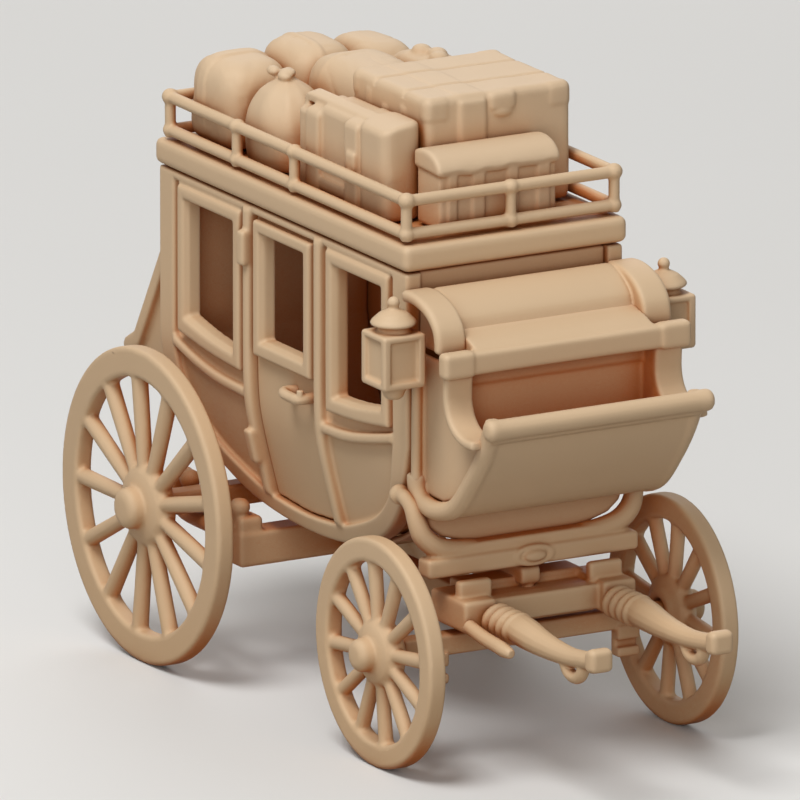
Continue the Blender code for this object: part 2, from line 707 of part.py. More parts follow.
def wheels():
    table = (("rear", REAR_AXLE_X, REAR_WHEEL), ("front", FRONT_AXLE_X, FRONT_WHEEL))
    for place_name, x, spec in table:
        mesh = wheel_mesh(place_name + "_wheel", spec)
        for label, side in (("right", -1), ("left", 1)):
            y = side * (spec["face"] - WHEEL_WIDTH / 2)
            wheel = node("wheel_" + place_name + "_" + label, mesh, GEAR_RESIN, (x, y, spec["radius"]))
            wheel.rotation_euler = (0.0, 0.0, 0.0 if side < 0 else math.pi)


def axle(name, x, spec, thick, adds=()):
    """A square beam with a round arm at each end for the wheels."""
    z = spec["radius"]
    beam_half = spec["face"] - WHEEL_WIDTH - HUB_IN - 2 * GAP
    tip = spec["face"] - WHEEL_WIDTH / 2 - 0.2
    beam = box_mesh(name, (thick, 2 * beam_half, thick), (x, 0.0, z))
    arm = rod_mesh("arm", (x, -tip, z), (x, tip, z), AXLE_ARM_RADIUS, AXLE_ARM_RADIUS, 16)
    node(name, combined(name, beam, adds=[arm, *adds]), GEAR_RESIN)


def rear_gear():
    axle("rear_axle", REAR_AXLE_X, REAR_WHEEL, REAR_BEAM)
    x0, x1, half, low, high = CROSS_BEAM
    beam = box_mesh("beam", (x1 - x0, 2 * half, high - low), ((x0 + x1) / 2, 0.0, (low + high) / 2))
    ends = []
    for side in (-1, 1):
        wide, tall = BOLSTER_END
        limits = (x0 + 0.3, x1 - 0.3, half - wide - 0.1, half - 0.1, high - tall, high + tall)
        ends.append(limits_mesh("end", limits, side))
        centre = ((x0 + x1) / 2, side * (half - 1.0), high + tall + 1.4)
        ends.append(ball_mesh("knob", centre, KNOB_RADIUS, turns=10, rings=8))
    node("rear_bolster", combined("rear_bolster", beam, adds=ends), GEAR_RESIN)
    for label, side in (("right", -1), ("left", 1)):
        y = side * SIDE_BAR_Y
        path = [(x, y, height) for x, height in SIDE_BAR]
        bar = tube_mesh("bar", path, SIDE_BAR_RADIUS, resolution=1)
        knob = ball_mesh("knob", path[-1], KNOB_RADIUS, turns=10, rings=8)
        node("rear_spring_bar_" + label, combined("bar_" + label, bar, adds=[knob]), GEAR_RESIN)
    beam = plate_mesh("perch", [list(PERCH)], -PERCH_HALF, PERCH_HALF)
    low, high = KINGPIN
    ends = (FRONT_AXLE_X, 0.0, low), (FRONT_AXLE_X, 0.0, high)
    pin = rod_mesh("kingpin", *ends, KINGPIN_RADIUS, KINGPIN_RADIUS, 12)
    node("perch", combined("perch", beam, adds=[pin]), GEAR_RESIN)


def front_cradle():
    x0, x1, z, thick, thin, stretch = BOSS
    boss = rod_mesh("boss", (x0, 0.0, z), (x1, 0.0, z), thick, thin, 12)
    boss.transform(Matrix.Diagonal((1.0, stretch, 1.0, 1.0)))
    arms = []
    for side in (-1, 1):
        path = [(x, side * y, z) for x, y, z in CRADLE_ARM]
        arms.append(tube_mesh("arm", path, CRADLE_ARM_RADIUS, resolution=1))
        arms.append(ball_mesh("ball", path[-1], KNOB_RADIUS, turns=10, rings=8))
    bar = limits_mesh("bar", CRADLE_BAR)
    beam = limits_mesh("beam", CRADLE_BEAM)
    node("front_cradle", combined("front_cradle", beam, adds=[bar, boss] + arms), GEAR_RESIN)


def front_carriage():
    brackets = [limits_mesh("bracket", AXLE_BRACKET, side) for side in (-1, 1)]
    axle("front_axle", FRONT_AXLE_X, FRONT_WHEEL, FRONT_BEAM, brackets)
    rails = [limits_mesh("side", BED_RAIL, side) for side in (-1, 1)]
    blocks = [limits_mesh("block", BED_BLOCK, side) for side in (-1, 1)]
    wide = KINGPIN_RADIUS + GAP
    bore = rod_mesh("bore", (FRONT_AXLE_X, 0.0, 18.0), (FRONT_AXLE_X, 0.0, 26.0), wide, wide, 12)
    bolster = limits_mesh("bolster", BED_BOLSTER)
    mesh = combined("axle_bed", limits_mesh("cross", BED_CROSS), adds=rails + blocks + [bolster])
    node("axle_bed", combined("axle_bed", mesh, cuts=[bore]), GEAR_RESIN)
    for label, side in (("right", -1), ("left", 1)):
        y = side * SHAFT_Y
        bar = tube_mesh("shaft", [(x, y, z) for x, z in SHAFT_LINE], 1.0, taper=SHAFT_RADII)
        x0, x1, z, width = SHAFT_TIP
        tip = box_mesh("tip", (x1 - x0, width, width), ((x0 + x1) / 2, y, z))
        x, z, long, tall, thick = SHAFT_EYE
        ring = []
        for i in range(EYE_STEPS):
            angle = 2 * math.pi * i / EYE_STEPS
            ring.append((x + long * math.cos(angle), y, z + tall * math.sin(angle)))
        eye = tube_mesh("eye", ring, thick, cyclic=True, resolution=1)
        node("shaft_" + label, combined("shaft_" + label, bar, adds=[tip, eye]), GEAR_RESIN)
        y = side * SIDE_ROD_Y
        rod = tube_mesh("rod", [(x, y, z) for x, z in SIDE_ROD], SIDE_ROD_RADIUS)
        node("side_rod_" + label, rod, GEAR_RESIN)


def thoroughbraces():
    """Straps tucked under the floor between the cabin's sides."""
    near = [(CABIN_MIDDLE + x, z) for x, z in inset(BODY_CURVE, SHELL_INSET - GAP)]
    far = [(CABIN_MIDDLE + x, z) for x, z in inset(BODY_CURVE, -STRAP_OUT)]
    near = [point for point, spot in zip(near, BODY_CURVE) if spot[0] <= STRAP_REACH]
    far = [point for point, spot in zip(far, BODY_CURVE) if spot[0] <= STRAP_REACH]
    near += [(2 * CABIN_MIDDLE - x, z) for x, z in near[-2::-1]]
    far += [(2 * CABIN_MIDDLE - x, z) for x, z in far[-2::-1]]
    for label, side in (("right", -1), ("left", 1)):
        name = "thoroughbrace_" + label
        strap = plate_mesh("strap", [near + far[::-1]], side * STRAP_Y[0], side * STRAP_Y[1])
        node(name, strap, GEAR_RESIN)


def main():
    cabin_sides()
    doors()
    end_walls()
    roof()
    roof_rail()
    luggage()
    driver_box()
    dash()
    driver_seat()
    lamps()
    rear_boot()
    wheels()
    rear_gear()
    front_cradle()
    front_carriage()
    thoroughbraces()


main()
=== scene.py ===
# Looks of the model stagecoach: matt tan resin castings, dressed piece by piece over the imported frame.
# Shapes are made in millimetres in the coach's own frame (X forward, Y left, Z up). finish_piece then
# scales them to metres and shifts them to the frame's origin.
import json
import math

import bmesh
import bpy
import numpy as np
from mathutils import Matrix, Vector, noise


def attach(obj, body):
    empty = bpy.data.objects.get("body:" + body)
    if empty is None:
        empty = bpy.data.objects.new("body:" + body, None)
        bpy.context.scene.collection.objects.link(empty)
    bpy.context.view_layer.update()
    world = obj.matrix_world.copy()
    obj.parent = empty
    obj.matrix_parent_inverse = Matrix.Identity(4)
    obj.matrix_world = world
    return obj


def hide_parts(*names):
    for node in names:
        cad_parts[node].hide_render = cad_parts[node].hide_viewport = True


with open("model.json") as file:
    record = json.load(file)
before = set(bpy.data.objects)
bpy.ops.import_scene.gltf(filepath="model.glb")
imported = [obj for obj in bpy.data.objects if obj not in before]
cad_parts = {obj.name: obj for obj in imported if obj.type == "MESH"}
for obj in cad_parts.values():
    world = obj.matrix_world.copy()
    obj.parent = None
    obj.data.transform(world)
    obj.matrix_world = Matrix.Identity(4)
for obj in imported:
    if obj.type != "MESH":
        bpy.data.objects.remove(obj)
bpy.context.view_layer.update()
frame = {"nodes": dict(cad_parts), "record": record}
NODES = frame["nodes"]

MM = 0.001
SHIFT_X = -8.15

# Wheels
REAR_AXLE_X = -33.85
FRONT_AXLE_X = 33.85
WHEEL_WIDTH = 2.9
ARM_RADIUS = 1.5
RIM_ROUNDING = 0.45
HUB_OUT = 3.2
FIRST_SPOKE = 97
REAR_WHEEL = dict(
    radius=24.0, bore=19.5, hub=4.6, collar=6.5, nose=3.15, spokes=13, thin=1.2, thick=1.3, face=27.7,
)
FRONT_WHEEL = dict(
    radius=17.3, bore=13.65, hub=3.7, collar=5.35, nose=2.55, spokes=12, thin=1.05, thick=1.15,
    face=26.3,
)

# Cabin side, symmetric about its middle: (distance from the middle, height)
MIDDLE = -7.1
TOP = 73.0
WALL = 2.5
FACE = 18.3
BODY_CURVE = (
    (37.3, 46.5), (35.6, 41.0), (32.6, 36.4), (28.4, 32.3), (23.0, 28.9), (16.0, 26.3), (8.0, 25.0),
    (0.0, 24.6),
)
PANEL_CURVE = (
    (32.8, 47.2), (31.9, 42.8), (29.8, 38.2), (26.5, 34.9), (22.4, 32.3), (16.0, 29.8), (10.0, 28.2),
    (0.0, 27.4),
)
PANEL_TOP = 71.7
DOOR_TOP = 71.9
DOOR_GAP = 0.24
DOOR_FRONT_GAP = 0.42
BEND_HEIGHT = 42.2
BEND_WIDTH = 2.0
BEND_SLOPE = 0.26
REAR_PILLAR = (-18.6, -16.6)
FRONT_PILLAR = (2.7, 4.7)
HINGE_X = -17.6
HINGES = ((33.2, 38.4), (63.8, 69.0))
WINDOWS = {
    "rear": (-36.4, -21.6, 51.2, 49.2, 69.4, 2.0),
    "door": (-13.6, -0.4, 52.6, 52.6, 69.3, 1.9),
    "front": (8.3, 22.9, 49.1, 50.8, 69.5, 2.0),
}
HANDLE_OUT = FACE + 1.35
HANDLE_LINE = (
    (-4.6, FACE - 1.2, 47.3), (-5.0, FACE + 0.6, 47.3), (-4.1, HANDLE_OUT, 47.2),
    (-2.0, HANDLE_OUT, 47.1), (-0.2, HANDLE_OUT, 47.2), (0.4, FACE + 0.4, 47.3),
    (0.4, FACE - 1.2, 47.3),
)
BELTS = (
    ((-40.2, 48.0), (-34.0, 46.2), (-27.0, 45.0), (-18.0, 44.6)),
    ((4.2, 44.6), (11.0, 44.9), (17.5, 46.0), (26.0, 48.0)),
)


# ---- shape tools, in millimetres ----


def raw_mesh(thing):
    """The evaluated mesh of an object, in the object's own frame."""
    bpy.context.view_layer.update()
    graph = bpy.context.evaluated_depsgraph_get()
    return bpy.data.meshes.new_from_object(thing.evaluated_get(graph))


def made(thing, matrix=None):
    """Turns a working object into a plain mesh and removes it."""
    bpy.context.scene.collection.objects.link(thing)
    mesh = raw_mesh(thing)
    bpy.data.objects.remove(thing, do_unlink=True)
    if matrix is not None:
        mesh.transform(matrix)
    return mesh


def plate(loops, low, high, axis="Y", rounding=0.0, steps=2):
    """A filled outline with holes, given thickness, with its edges rounded."""
    curve = bpy.data.curves.new("plate", "CURVE")
    curve.dimensions = "2D"
    curve.fill_mode = "BOTH"
    curve.extrude = (high - low) / 2 - rounding
    curve.bevel_depth = rounding
    curve.bevel_resolution = steps
    curve.offset = -rounding
    for index, loop in enumerate(loops):
        area = sum(a[0] * b[1] - b[0] * a[1] for a, b in zip(loop, loop[1:] + loop[:1]))
        if (area > 0) == (index > 0):
            loop = loop[::-1]
        spline = curve.splines.new("POLY")
        spline.points.add(len(loop) - 1)
        for point, (a, b) in zip(spline.points, loop):
            point.co = (a, b, 0.0, 1.0)
        spline.use_cyclic_u = True
    middle = (low + high) / 2
    turns = {
        "Y": Matrix.Translation((0, middle, 0)) @ Matrix.Rotation(math.pi / 2, 4, "X"),
        "X": Matrix(((0, 0, 1, middle), (1, 0, 0, 0), (0, 1, 0, 0), (0, 0, 0, 1))),
        "Z": Matrix.Translation((0, 0, middle)),
    }
    return made(bpy.data.objects.new("plate", curve), turns[axis])


def tube(points, radius, taper=None, cyclic=False, resolution=3):
    """A round bar along a line of points."""
    curve = bpy.data.curves.new("tube", "CURVE")
    curve.dimensions = "3D"
    curve.bevel_depth = radius
    curve.bevel_resolution = resolution
    curve.use_fill_caps = True
    spline = curve.splines.new("POLY")
    spline.points.add(len(points) - 1)
    for i, (point, co) in enumerate(zip(spline.points, points)):
        point.co = (*co, 1.0)
        point.radius = taper[i] if taper else 1.0
    spline.use_cyclic_u = cyclic
    return made(bpy.data.objects.new("tube", curve))


def built(action):
    """The mesh that an action makes in an empty bmesh."""
    bm = bmesh.new()
    action(bm)
    mesh = bpy.data.meshes.new("shape")
    bm.to_mesh(mesh)
    bm.free()
    return mesh


def ball(centre, radius, squash=(1.0, 1.0, 1.0)):
    matrix = Matrix.Translation(centre) @ Matrix.Diagonal((*squash, 1.0))
    return built(
        lambda bm: bmesh.ops.create_uvsphere(bm, u_segments=24, v_segments=16, radius=radius, matrix=matrix)
    )


def rod(start, end, r1, r2=None, sides=24):
    """A straight round bar, tapered if it has a second radius."""
    a, b = Vector(start), Vector(end)
    turn = (b - a).to_track_quat("Z", "Y").to_matrix().to_4x4()
    matrix = Matrix.Translation((a + b) / 2) @ turn
    r2 = r1 if r2 is None else r2
    return built(
        lambda bm: bmesh.ops.create_cone(
            bm, cap_ends=True, segments=sides, radius1=r1, radius2=r2, depth=(b - a).length, matrix=matrix
        )
    )


def block(x0, x1, y0, y1, z0, z1, rounding=0.3, segments=2):
    """A box with its edges rounded."""

    def action(bm):
        matrix = Matrix.Translation(((x0 + x1) / 2, (y0 + y1) / 2, (z0 + z1) / 2))
        matrix = matrix @ Matrix.Diagonal((x1 - x0, y1 - y0, z1 - z0, 1.0))
        bmesh.ops.create_cube(bm, size=1.0, matrix=matrix)
        if rounding:
            bmesh.ops.bevel(
                bm, geom=bm.edges[:], offset=rounding, segments=segments, profile=0.5, affect="EDGES",
            )

    return built(action)


def both_sides(x0, x1, near, far, z0, z1, rounding=0.3, segments=2):
    """The same box on the coach's right and on its left."""
    return [block(x0, x1, y0, y1, z0, z1, rounding, segments) for y0, y1 in ((-far, -near), (near, far))]


def turned(profile, axis="Z", centre=(0.0, 0.0, 0.0), steps=48):
    """A solid of revolution: (radius, height) points from the top down."""
    mesh = bpy.data.meshes.new("turned")
    mesh.from_pydata([(r, 0.0, h) for r, h in profile], [(i, i + 1) for i in range(len(profile) - 1)], [])
    thing = bpy.data.objects.new("turned", mesh)
    screw = thing.modifiers.new("turn", "SCREW")
    screw.steps = steps
    screw.render_steps = steps
    screw.use_merge_vertices = True
    screw.merge_threshold = 0.0001
    turns = {
        "Z": Matrix.Identity(4), "Y": Matrix.Rotation(math.pi / 2, 4, "X"),
        "X": Matrix.Rotation(math.pi / 2, 4, "Y"),
    }
    return made(thing, Matrix.Translation(centre) @ turns[axis])


def through(points, steps=6):
    """A smooth line through the points."""
    line = []
    for i in range(len(points) - 1):
        corners = (points[max(i - 1, 0)], points[i], points[i + 1], points[min(i + 2, len(points) - 1)])
        for s in range(steps):
            t = s / steps
            spot = []
            for a, b, c, d in zip(*corners):
                spot.append(
                    0.5 * (
                        2 * b + (c - a) * t + (
                            2 * a - 5 * b + 4 * c - d
                        ) * t * t + (3 * b - a - 3 * c + d) * t ** 3
                    )
                )
            line.append(tuple(spot))
    line.append(tuple(points[-1]))
    return line


def spin(mesh, angle, axis, centre):
    """A mesh turned about an axis through a point."""
    pivot = Vector(centre)
    mesh.transform(Matrix.Translation(pivot) @ Matrix.Rotation(angle, 4, axis) @ Matrix.Translation(-pivot))
    return mesh


def mirrored(mesh):
    """A copy of the mesh on the coach's other side."""
    copy = mesh.copy()
    copy.transform(Matrix.Diagonal((1.0, -1.0, 1.0, 1.0)))
    copy.flip_normals()
    return copy


def warped(mesh, rule):
    """Moves every point by a rule from its N by 3 array to a new one."""
    points = np.empty(len(mesh.vertices) * 3, dtype=np.float32)
    mesh.vertices.foreach_get("co", points)
    mesh.vertices.foreach_set(
        "co", np.asarray(rule(points.reshape(-1, 3).astype(float)), dtype=np.float32).ravel(),
    )
    mesh.update()
    return mesh


def cast(shells, voxel=0.25, melt=3, keep=0.3, rule=None):
    """Melts overlapping closed shells into one casting with soft inner corners and rubbed edges."""
    bm = bmesh.new()
    for shell in shells:
        bm.from_mesh(shell)
    mesh = bpy.data.meshes.new("casting")
    bm.to_mesh(mesh)
    bm.free()
    thing = bpy.data.objects.new("casting", mesh)
    remesh = thing.modifiers.new("melt", "REMESH")
    remesh.mode = "VOXEL"
    remesh.voxel_size = voxel
    smooth = thing.modifiers.new("soften", "SMOOTH")
    smooth.factor = 0.5
    smooth.iterations = melt
    mesh = made(thing)
    if rule is not None:
        warped(mesh, rule)
    if keep < 1.0:
        thing = bpy.data.objects.new("casting", mesh)
        thin = thing.modifiers.new("thin out", "DECIMATE")
        thin.ratio = keep
        mesh = made(thing)
    return mesh


def finish_piece(node, mesh, material, body="coach", name=None, at=(0.0, 0.0, 0.0), turn=0.0):
    """Puts a casting in place of its solid and lets it ride on its body."""
    name = name or node + "_casting"
    mesh.name = name
    if not mesh.materials:
        mesh.transform(Matrix.Scale(MM, 4))
        mesh.materials.append(material)
        mesh.shade_smooth()
    thing = bpy.data.objects.new(name, mesh)
    bpy.context.scene.collection.objects.link(thing)
    x, y, z = at
    thing.location = ((x + SHIFT_X) * MM, y * MM, z * MM)
    thing.rotation_euler = (0.0, 0.0, turn)
    soften = thing.modifiers.new("even shading", "WEIGHTED_NORMAL")
    soften.keep_sharp = True
    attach(thing, body)
    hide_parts(node)


def finish_pair(node, mesh, material, body="coach", name=None):
    """The left casting and its mirror image on the right. The gap in a name takes the side."""
    name = name or node + "_casting"
    finish_piece(node.format("left"), mesh, material, body.format("left"), name.format("left"))
    finish_piece(node.format("right"), mirrored(mesh), material, body.format("right"), name.format("right"))


# ---- finishes ----


class Value:
    """A shader socket that takes part in plain arithmetic."""

    def __init__(self, tree, socket):
        self.tree = tree
        self.socket = socket

    def maths(self, operation, *others, clamp=False):
        node = self.tree.nodes.new("ShaderNodeMath")
        node.operation = operation
        node.use_clamp = clamp
        for slot, item in zip(node.inputs, (self,) + others):
            if isinstance(item, Value):
                self.tree.links.new(item.socket, slot)
            else:
                slot.default_value = item
        return Value(self.tree, node.outputs[0])

    def __add__(self, other):
        return self.maths("ADD", other)

    __radd__ = __add__

    def __mul__(self, other):
        return self.maths("MULTIPLY", other)

    __rmul__ = __mul__

    def __sub__(self, other):
        return self.maths("SUBTRACT", other)

    def __rsub__(self, other):
        return (self * -1.0) + other

    def __pow__(self, other):
        return self.maths("POWER", other)

    def held(self):
        """Kept between 0 and 1."""
        return self.maths("ADD", 0.0, clamp=True)


class Finish:
    """One material, with its shader and the nodes that feed it."""

    def __init__(self, name):
        self.material = bpy.data.materials.new(name)
        self.material.use_nodes = True
        self.tree = self.material.node_tree
        self.shader = self.tree.nodes["Principled BSDF"]

    def add(self, kind, settings=None, inputs=None, output=0):
        node = self.tree.nodes.new(kind)
        for key, value in (settings or {}).items():
            setattr(node, key, value)
        for key, value in (inputs or {}).items():
            self.join(value, node.inputs[key])
        return Value(self.tree, node.outputs[output])

    def mix(self, share, first, second):
        """A colour between two colours."""
        node = self.tree.nodes.new("ShaderNodeMix")
        node.data_type = "RGBA"
        for slot, item in ((0, share), (6, first), (7, second)):
            self.join(item, node.inputs[slot])
        return Value(self.tree, node.outputs[2])

    def join(self, value, socket):
        """Links a varying value to a socket, or sets a constant on it."""
        if isinstance(value, Value):
            self.tree.links.new(value.socket, socket)
        else:
            socket.default_value = value

    def feed(self, name, value):
        self.join(value, self.shader.inputs[name])


# Tones of painted shade in hollows and creases and of painted highlights on edges, and how far off a surface
# they look for other surfaces, in metres
WIDE = 0.036
CAVERN = 0.08
CLOSE = 0.0035
EDGE = 0.0011
SHADE_REACH = 1.05
SHADE_CURVE = 1.5
SHADE_TONE = (0.57, 0.30, 0.11)
PAINTED_DEEP_SHADE_TONE = (0.52, 0.13, 0.012)
PAINTED_CREASE_SHADE_TONE = (0.30, 0.10, 0.025)
PAINTED_EDGE_HIGHLIGHT_TONE = (0.73, 0.58, 0.42)
CLOUD_SCALE = 42.0
GRAIN_SCALE = 2600.0
SWELL_SCALE = 320.0
PIT_SCALE = 900.0
BUMP_STRENGTH = 0.16
BUMP_DEPTH = 0.00012


def cast_resin(name, colour, grain=1.0):
    """Matt cast resin: cloudy tone, painted warm brown shade in hollows and creases, painted highlights on
    edges, fine casting grain and pits.
    """
    finish = Finish(name)
    place = finish.add("ShaderNodeTexCoord", output=3)
    cloud = finish.add("ShaderNodeTexNoise", inputs={"Vector": place, "Scale": CLOUD_SCALE, "Detail": 3.0})
    fine = finish.add(
        "ShaderNodeTexNoise",
        inputs={"Vector": place, "Scale": GRAIN_SCALE, "Detail": 4.0, "Roughness": 0.6},
    )
    swell = finish.add("ShaderNodeTexNoise", inputs={"Vector": place, "Scale": SWELL_SCALE, "Detail": 2.0})
    pits = finish.add("ShaderNodeTexVoronoi", inputs={"Vector": place, "Scale": PIT_SCALE, "Randomness": 1.0})
    wide, cavern, close = (
        finish.add("ShaderNodeAmbientOcclusion", {"samples": 8}, {"Distance": reach}, output=1)
        for reach in (WIDE, CAVERN, CLOSE)
    )
    edge = finish.add(
        "ShaderNodeAmbientOcclusion", {"samples": 6, "inside": True}, {"Distance": EDGE}, output=1,
    )
    low = [c * 0.955 for c in colour]
    high = [min(1.0, c * 1.04) for c in colour]
    tone = finish.mix((cloud * 0.9).held(), (*low, 1.0), (*high, 1.0))
    # Painted shade: places with other surfaces near them are mixed towards a darker, more saturated tan, also
    # standing in for warm light bounced between the parts.
    shade = ((1.0 - wide) * SHADE_REACH).held() ** SHADE_CURVE
    tone = finish.mix((shade * 0.7).held(), tone, (*SHADE_TONE, 1.0))
    # Painted deep shade: closely enclosed places turn deep orange brown, standing in for shade and warm light
    # bounced inside them.
    deep = (((1.0 - wide) * 2.2 - 1.25) * 1.5).held()
    tone = finish.mix(deep, tone, (*PAINTED_DEEP_SHADE_TONE, 1.0))
    # More painted deep shade, looking further off, for the cabin's inside and the underside above the floor.
    cavern_painted_shade = ((1.0 - cavern) * 4.0 - 2.95).held()
    tone = finish.mix((cavern_painted_shade * 0.9).held(), tone, (*PAINTED_DEEP_SHADE_TONE, 1.0))
    # Painted shade in tight creases and inner corners.
    crease = ((1.0 - close) * 1.1).held() ** 1.5
    tone = finish.mix((crease * 0.85).held(), tone, (*PAINTED_CREASE_SHADE_TONE, 1.0))
    # Painted highlight: sharp outer edges are made paler.
    edge_painted_highlight = ((1.0 - edge) * 0.55).held()
    tone = finish.mix(edge_painted_highlight * 0.5, tone, (*PAINTED_EDGE_HIGHLIGHT_TONE, 1.0))
    finish.feed("Base Color", tone)
    finish.feed("Roughness", (fine * 0.16 + cloud * 0.1 + 0.46).held())
    finish.feed("Specular IOR Level", 0.28)
    height = fine * 0.35 + swell * 0.5 + (pits * 2.0).held() * 0.25
    bump = finish.add(
        "ShaderNodeBump",
        inputs={"Strength": BUMP_STRENGTH * grain, "Distance": BUMP_DEPTH, "Height": height},
    )
    finish.feed("Normal", bump)
    return finish.material


BODY = cast_resin("body_cast_resin", (0.655, 0.475, 0.30))
GEAR = cast_resin("gear_cast_resin", (0.645, 0.46, 0.285))
LOAD = cast_resin("load_cast_resin", (0.665, 0.49, 0.32), grain=1.4)
SLOTS = {"body_resin": BODY, "gear_resin": GEAR, "load_resin": LOAD}


def dress_nodes():
    """Every carried-over node gets the finish of its slot."""
    for part in frame["record"]["subparts"]:
        thing = NODES[part["node"]]
        thing.data.materials.clear()
        thing.data.materials.append(SLOTS[part["material_slot"]])


# ---- cabin ----


def whole(lower, top):
    """The side's closed outline: its smooth foot, mirrored, and straight ends up to the top."""
    line = through([(MIDDLE + x, z) for x, z in lower] + [(MIDDLE - x, z) for x, z in lower[-2::-1]], 5)
    return [(line[0][0], top)] + line + [(line[-1][0], top)]


def foot_height(x):
    """Height of the raised rim's upper edge at a place along the side."""
    reach, height = zip(*reversed(PANEL_CURVE))
    return float(np.interp(abs(x - MIDDLE), reach, height))


SIDE_HEIGHTS = [20.0 + 0.25 * i for i in range(240)]
SIDE_REACH = [
    FACE - BEND_SLOPE * BEND_WIDTH * math.log1p(math.exp((BEND_HEIGHT - z) / BEND_WIDTH))
    for z in SIDE_HEIGHTS
]


def side_rule(points):
    """Bends a flat side in towards its foot."""
    points[:, 1] += np.interp(points[:, 2], SIDE_HEIGHTS, SIDE_REACH) - FACE
    return points


def window_loop(key, margin=0.0):
    """A window's outline, with its sill sagging a little beside the door."""
    x0, x1, z0, z1, top = WINDOWS[key][:5]
    down = margin * 1.15
    sag = 0.0 if key == "door" else 0.35
    middle = ((x0 + x1) / 2, (z0 + z1) / 2 - down - sag)
    foot = through([(x0 - margin, z0 - down), middle, (x1 + margin, z1 - down)], 4)
    return foot + [(x1 + margin, top + margin), (x0 - margin, top + margin)]


def door_loop(gap, front_gap):
    """The door's outline, less its gaps. Its foot follows the raised rim."""
    x0, x1 = REAR_PILLAR[1] + gap, FRONT_PILLAR[0] - front_gap
    spots = [x0 + (x1 - x0) * i / 10 for i in range(11)]
    return [(x, foot_height(x) + gap - 0.15) for x in spots] + [(x1, DOOR_TOP - gap), (x0, DOOR_TOP - gap)]


def box_loop(x0, x1, z0, z1):
    return [(x0, z0), (x1, z0), (x1, z1), (x0, z1)]


def frame_ring(key, width, low, high):
    """A rounded moulding round a window, with an inner lip."""
    outer = plate([window_loop(key, width), window_loop(key)], low, high, rounding=0.5, steps=3)
    lip = plate([window_loop(key, 0.95), window_loop(key, -0.3)], low - 0.6, high - 0.85, rounding=0.15)
    return [outer, lip]


def cabin_sides():
    body = whole(BODY_CURVE, TOP)
    panel = whole(PANEL_CURVE, PANEL_TOP)
    holes = [window_loop("rear"), window_loop("front"), door_loop(0.0, 0.0)]
    shells = [plate([body] + holes, FACE - WALL, FACE - 1.0)]
    shells.append(plate([body, panel], FACE - 1.6, FACE + 0.1, rounding=0.5, steps=3))
    shells.append(plate([box_loop(-44.2, 30.0, PANEL_TOP, TOP)], FACE - 1.6, FACE - 0.05))
    for key in ("rear", "front"):
        shells += frame_ring(key, WINDOWS[key][5], FACE - 1.8, FACE + 0.5)
    for line in BELTS:
        top = through(line, 5)
        under = [(x, z - 1.7) for x, z in reversed(top)]
        shells.append(plate([top + under], FACE - 1.8, FACE + 0.4, rounding=0.6))
    for x0, x1 in (REAR_PILLAR, FRONT_PILLAR):
        loop = box_loop(x0, x1, foot_height((x0 + x1) / 2) - 0.3, TOP - 0.4)
        shells.append(plate([loop], FACE - WALL, FACE + 0.6, rounding=0.7))
    for low, high in HINGES:
        shells.append(
            block(HINGE_X - 1.05, HINGE_X + 1.0, FACE - 0.4, FACE + 1.5, low - 0.1, high + 0.1, 0.5, 3)
        )
    mesh = cast(shells, voxel=0.27, rule=side_rule)
    finish_pair("side_panel_{}", mesh, BODY, name="side_{}_casting")


def doors():
    leaf = door_loop(DOOR_GAP, DOOR_FRONT_GAP)
    shells = [plate([leaf, window_loop("door")], FACE - WALL, FACE - 0.95, rounding=0.1)]
    shells += frame_ring("door", WINDOWS["door"][5], FACE - 1.8, FACE + 0.5)
    mesh = cast(shells, keep=0.4, rule=side_rule)
    # the bar handle bends into the door at both ends and has a post at its front end
    bar = tube(through(HANDLE_LINE, 4), 0.85)
    post = rod((0.3, HANDLE_OUT - 0.2, 47.0), (0.3, HANDLE_OUT - 0.2, 48.7), 0.55)
    grip = cast([bar, post], voxel=0.16, keep=0.5)
    bm = bmesh.new()
    bm.from_mesh(mesh)
    bm.from_mesh(grip)
    bm.to_mesh(mesh)
    bm.free()
    finish_pair("door_{}", mesh, BODY, "door_{}")


# ---- wheels ----


def wheel_mesh(spec):
    """A wheel about its own centre, with its hub's nose towards +Y before it is turned to its side."""
    half = WHEEL_WIDTH / 2
    r, b = spec["radius"], spec["bore"]
    e = RIM_ROUNDING
    ring = [
        (b, half - e), (b + e * 0.3, half - e * 0.3), (b + e, half), (r - e, half),
        (r - e * 0.3, half - e * 0.3), (r, half - e),
    ]
    ring += [(x, -h) for x, h in reversed(ring)] + [ring[0]]
    shells = [turned(ring, "Y", steps=128)]
    hub, collar, nose = spec["hub"], spec["collar"], spec["nose"]
    outer = half + HUB_OUT
    profile = [
        (0.0, outer), (nose * 0.55, outer - 0.05), (nose - 0.55, outer - 0.3),
        (nose - 0.12, outer - 0.85), (nose, outer - 1.5),
    ]
    profile += [
        (nose, half + 0.65), (collar * 0.62, half + 0.55), (collar * 0.82, half + 0.1),
        (collar * 0.95, half - 0.75),
    ]
    profile += [
        (collar, half - 1.5), (collar * 0.98, -half + 0.35), (collar * 0.9, -half - 0.1),
        (hub, -half - 0.6),
    ]
    profile += [
        (hub - 0.6, -half - 1.2), (ARM_RADIUS + 0.35, -half - 1.2), (ARM_RADIUS + 0.35, 0.6),
        (0.0, 0.6),
    ]
    shells.append(turned(profile, "Y", steps=64))
    for i in range(spec["spokes"]):
        angle = 2 * math.pi * i / spec["spokes"] + math.radians(FIRST_SPOKE)
        out = Vector((math.cos(angle), 0.0, math.sin(angle)))
        shells.append(rod(out * (hub - 1.2), out * (b + 0.8), spec["thin"], spec["thick"], 20))
    return cast(shells, voxel=0.3, melt=4)


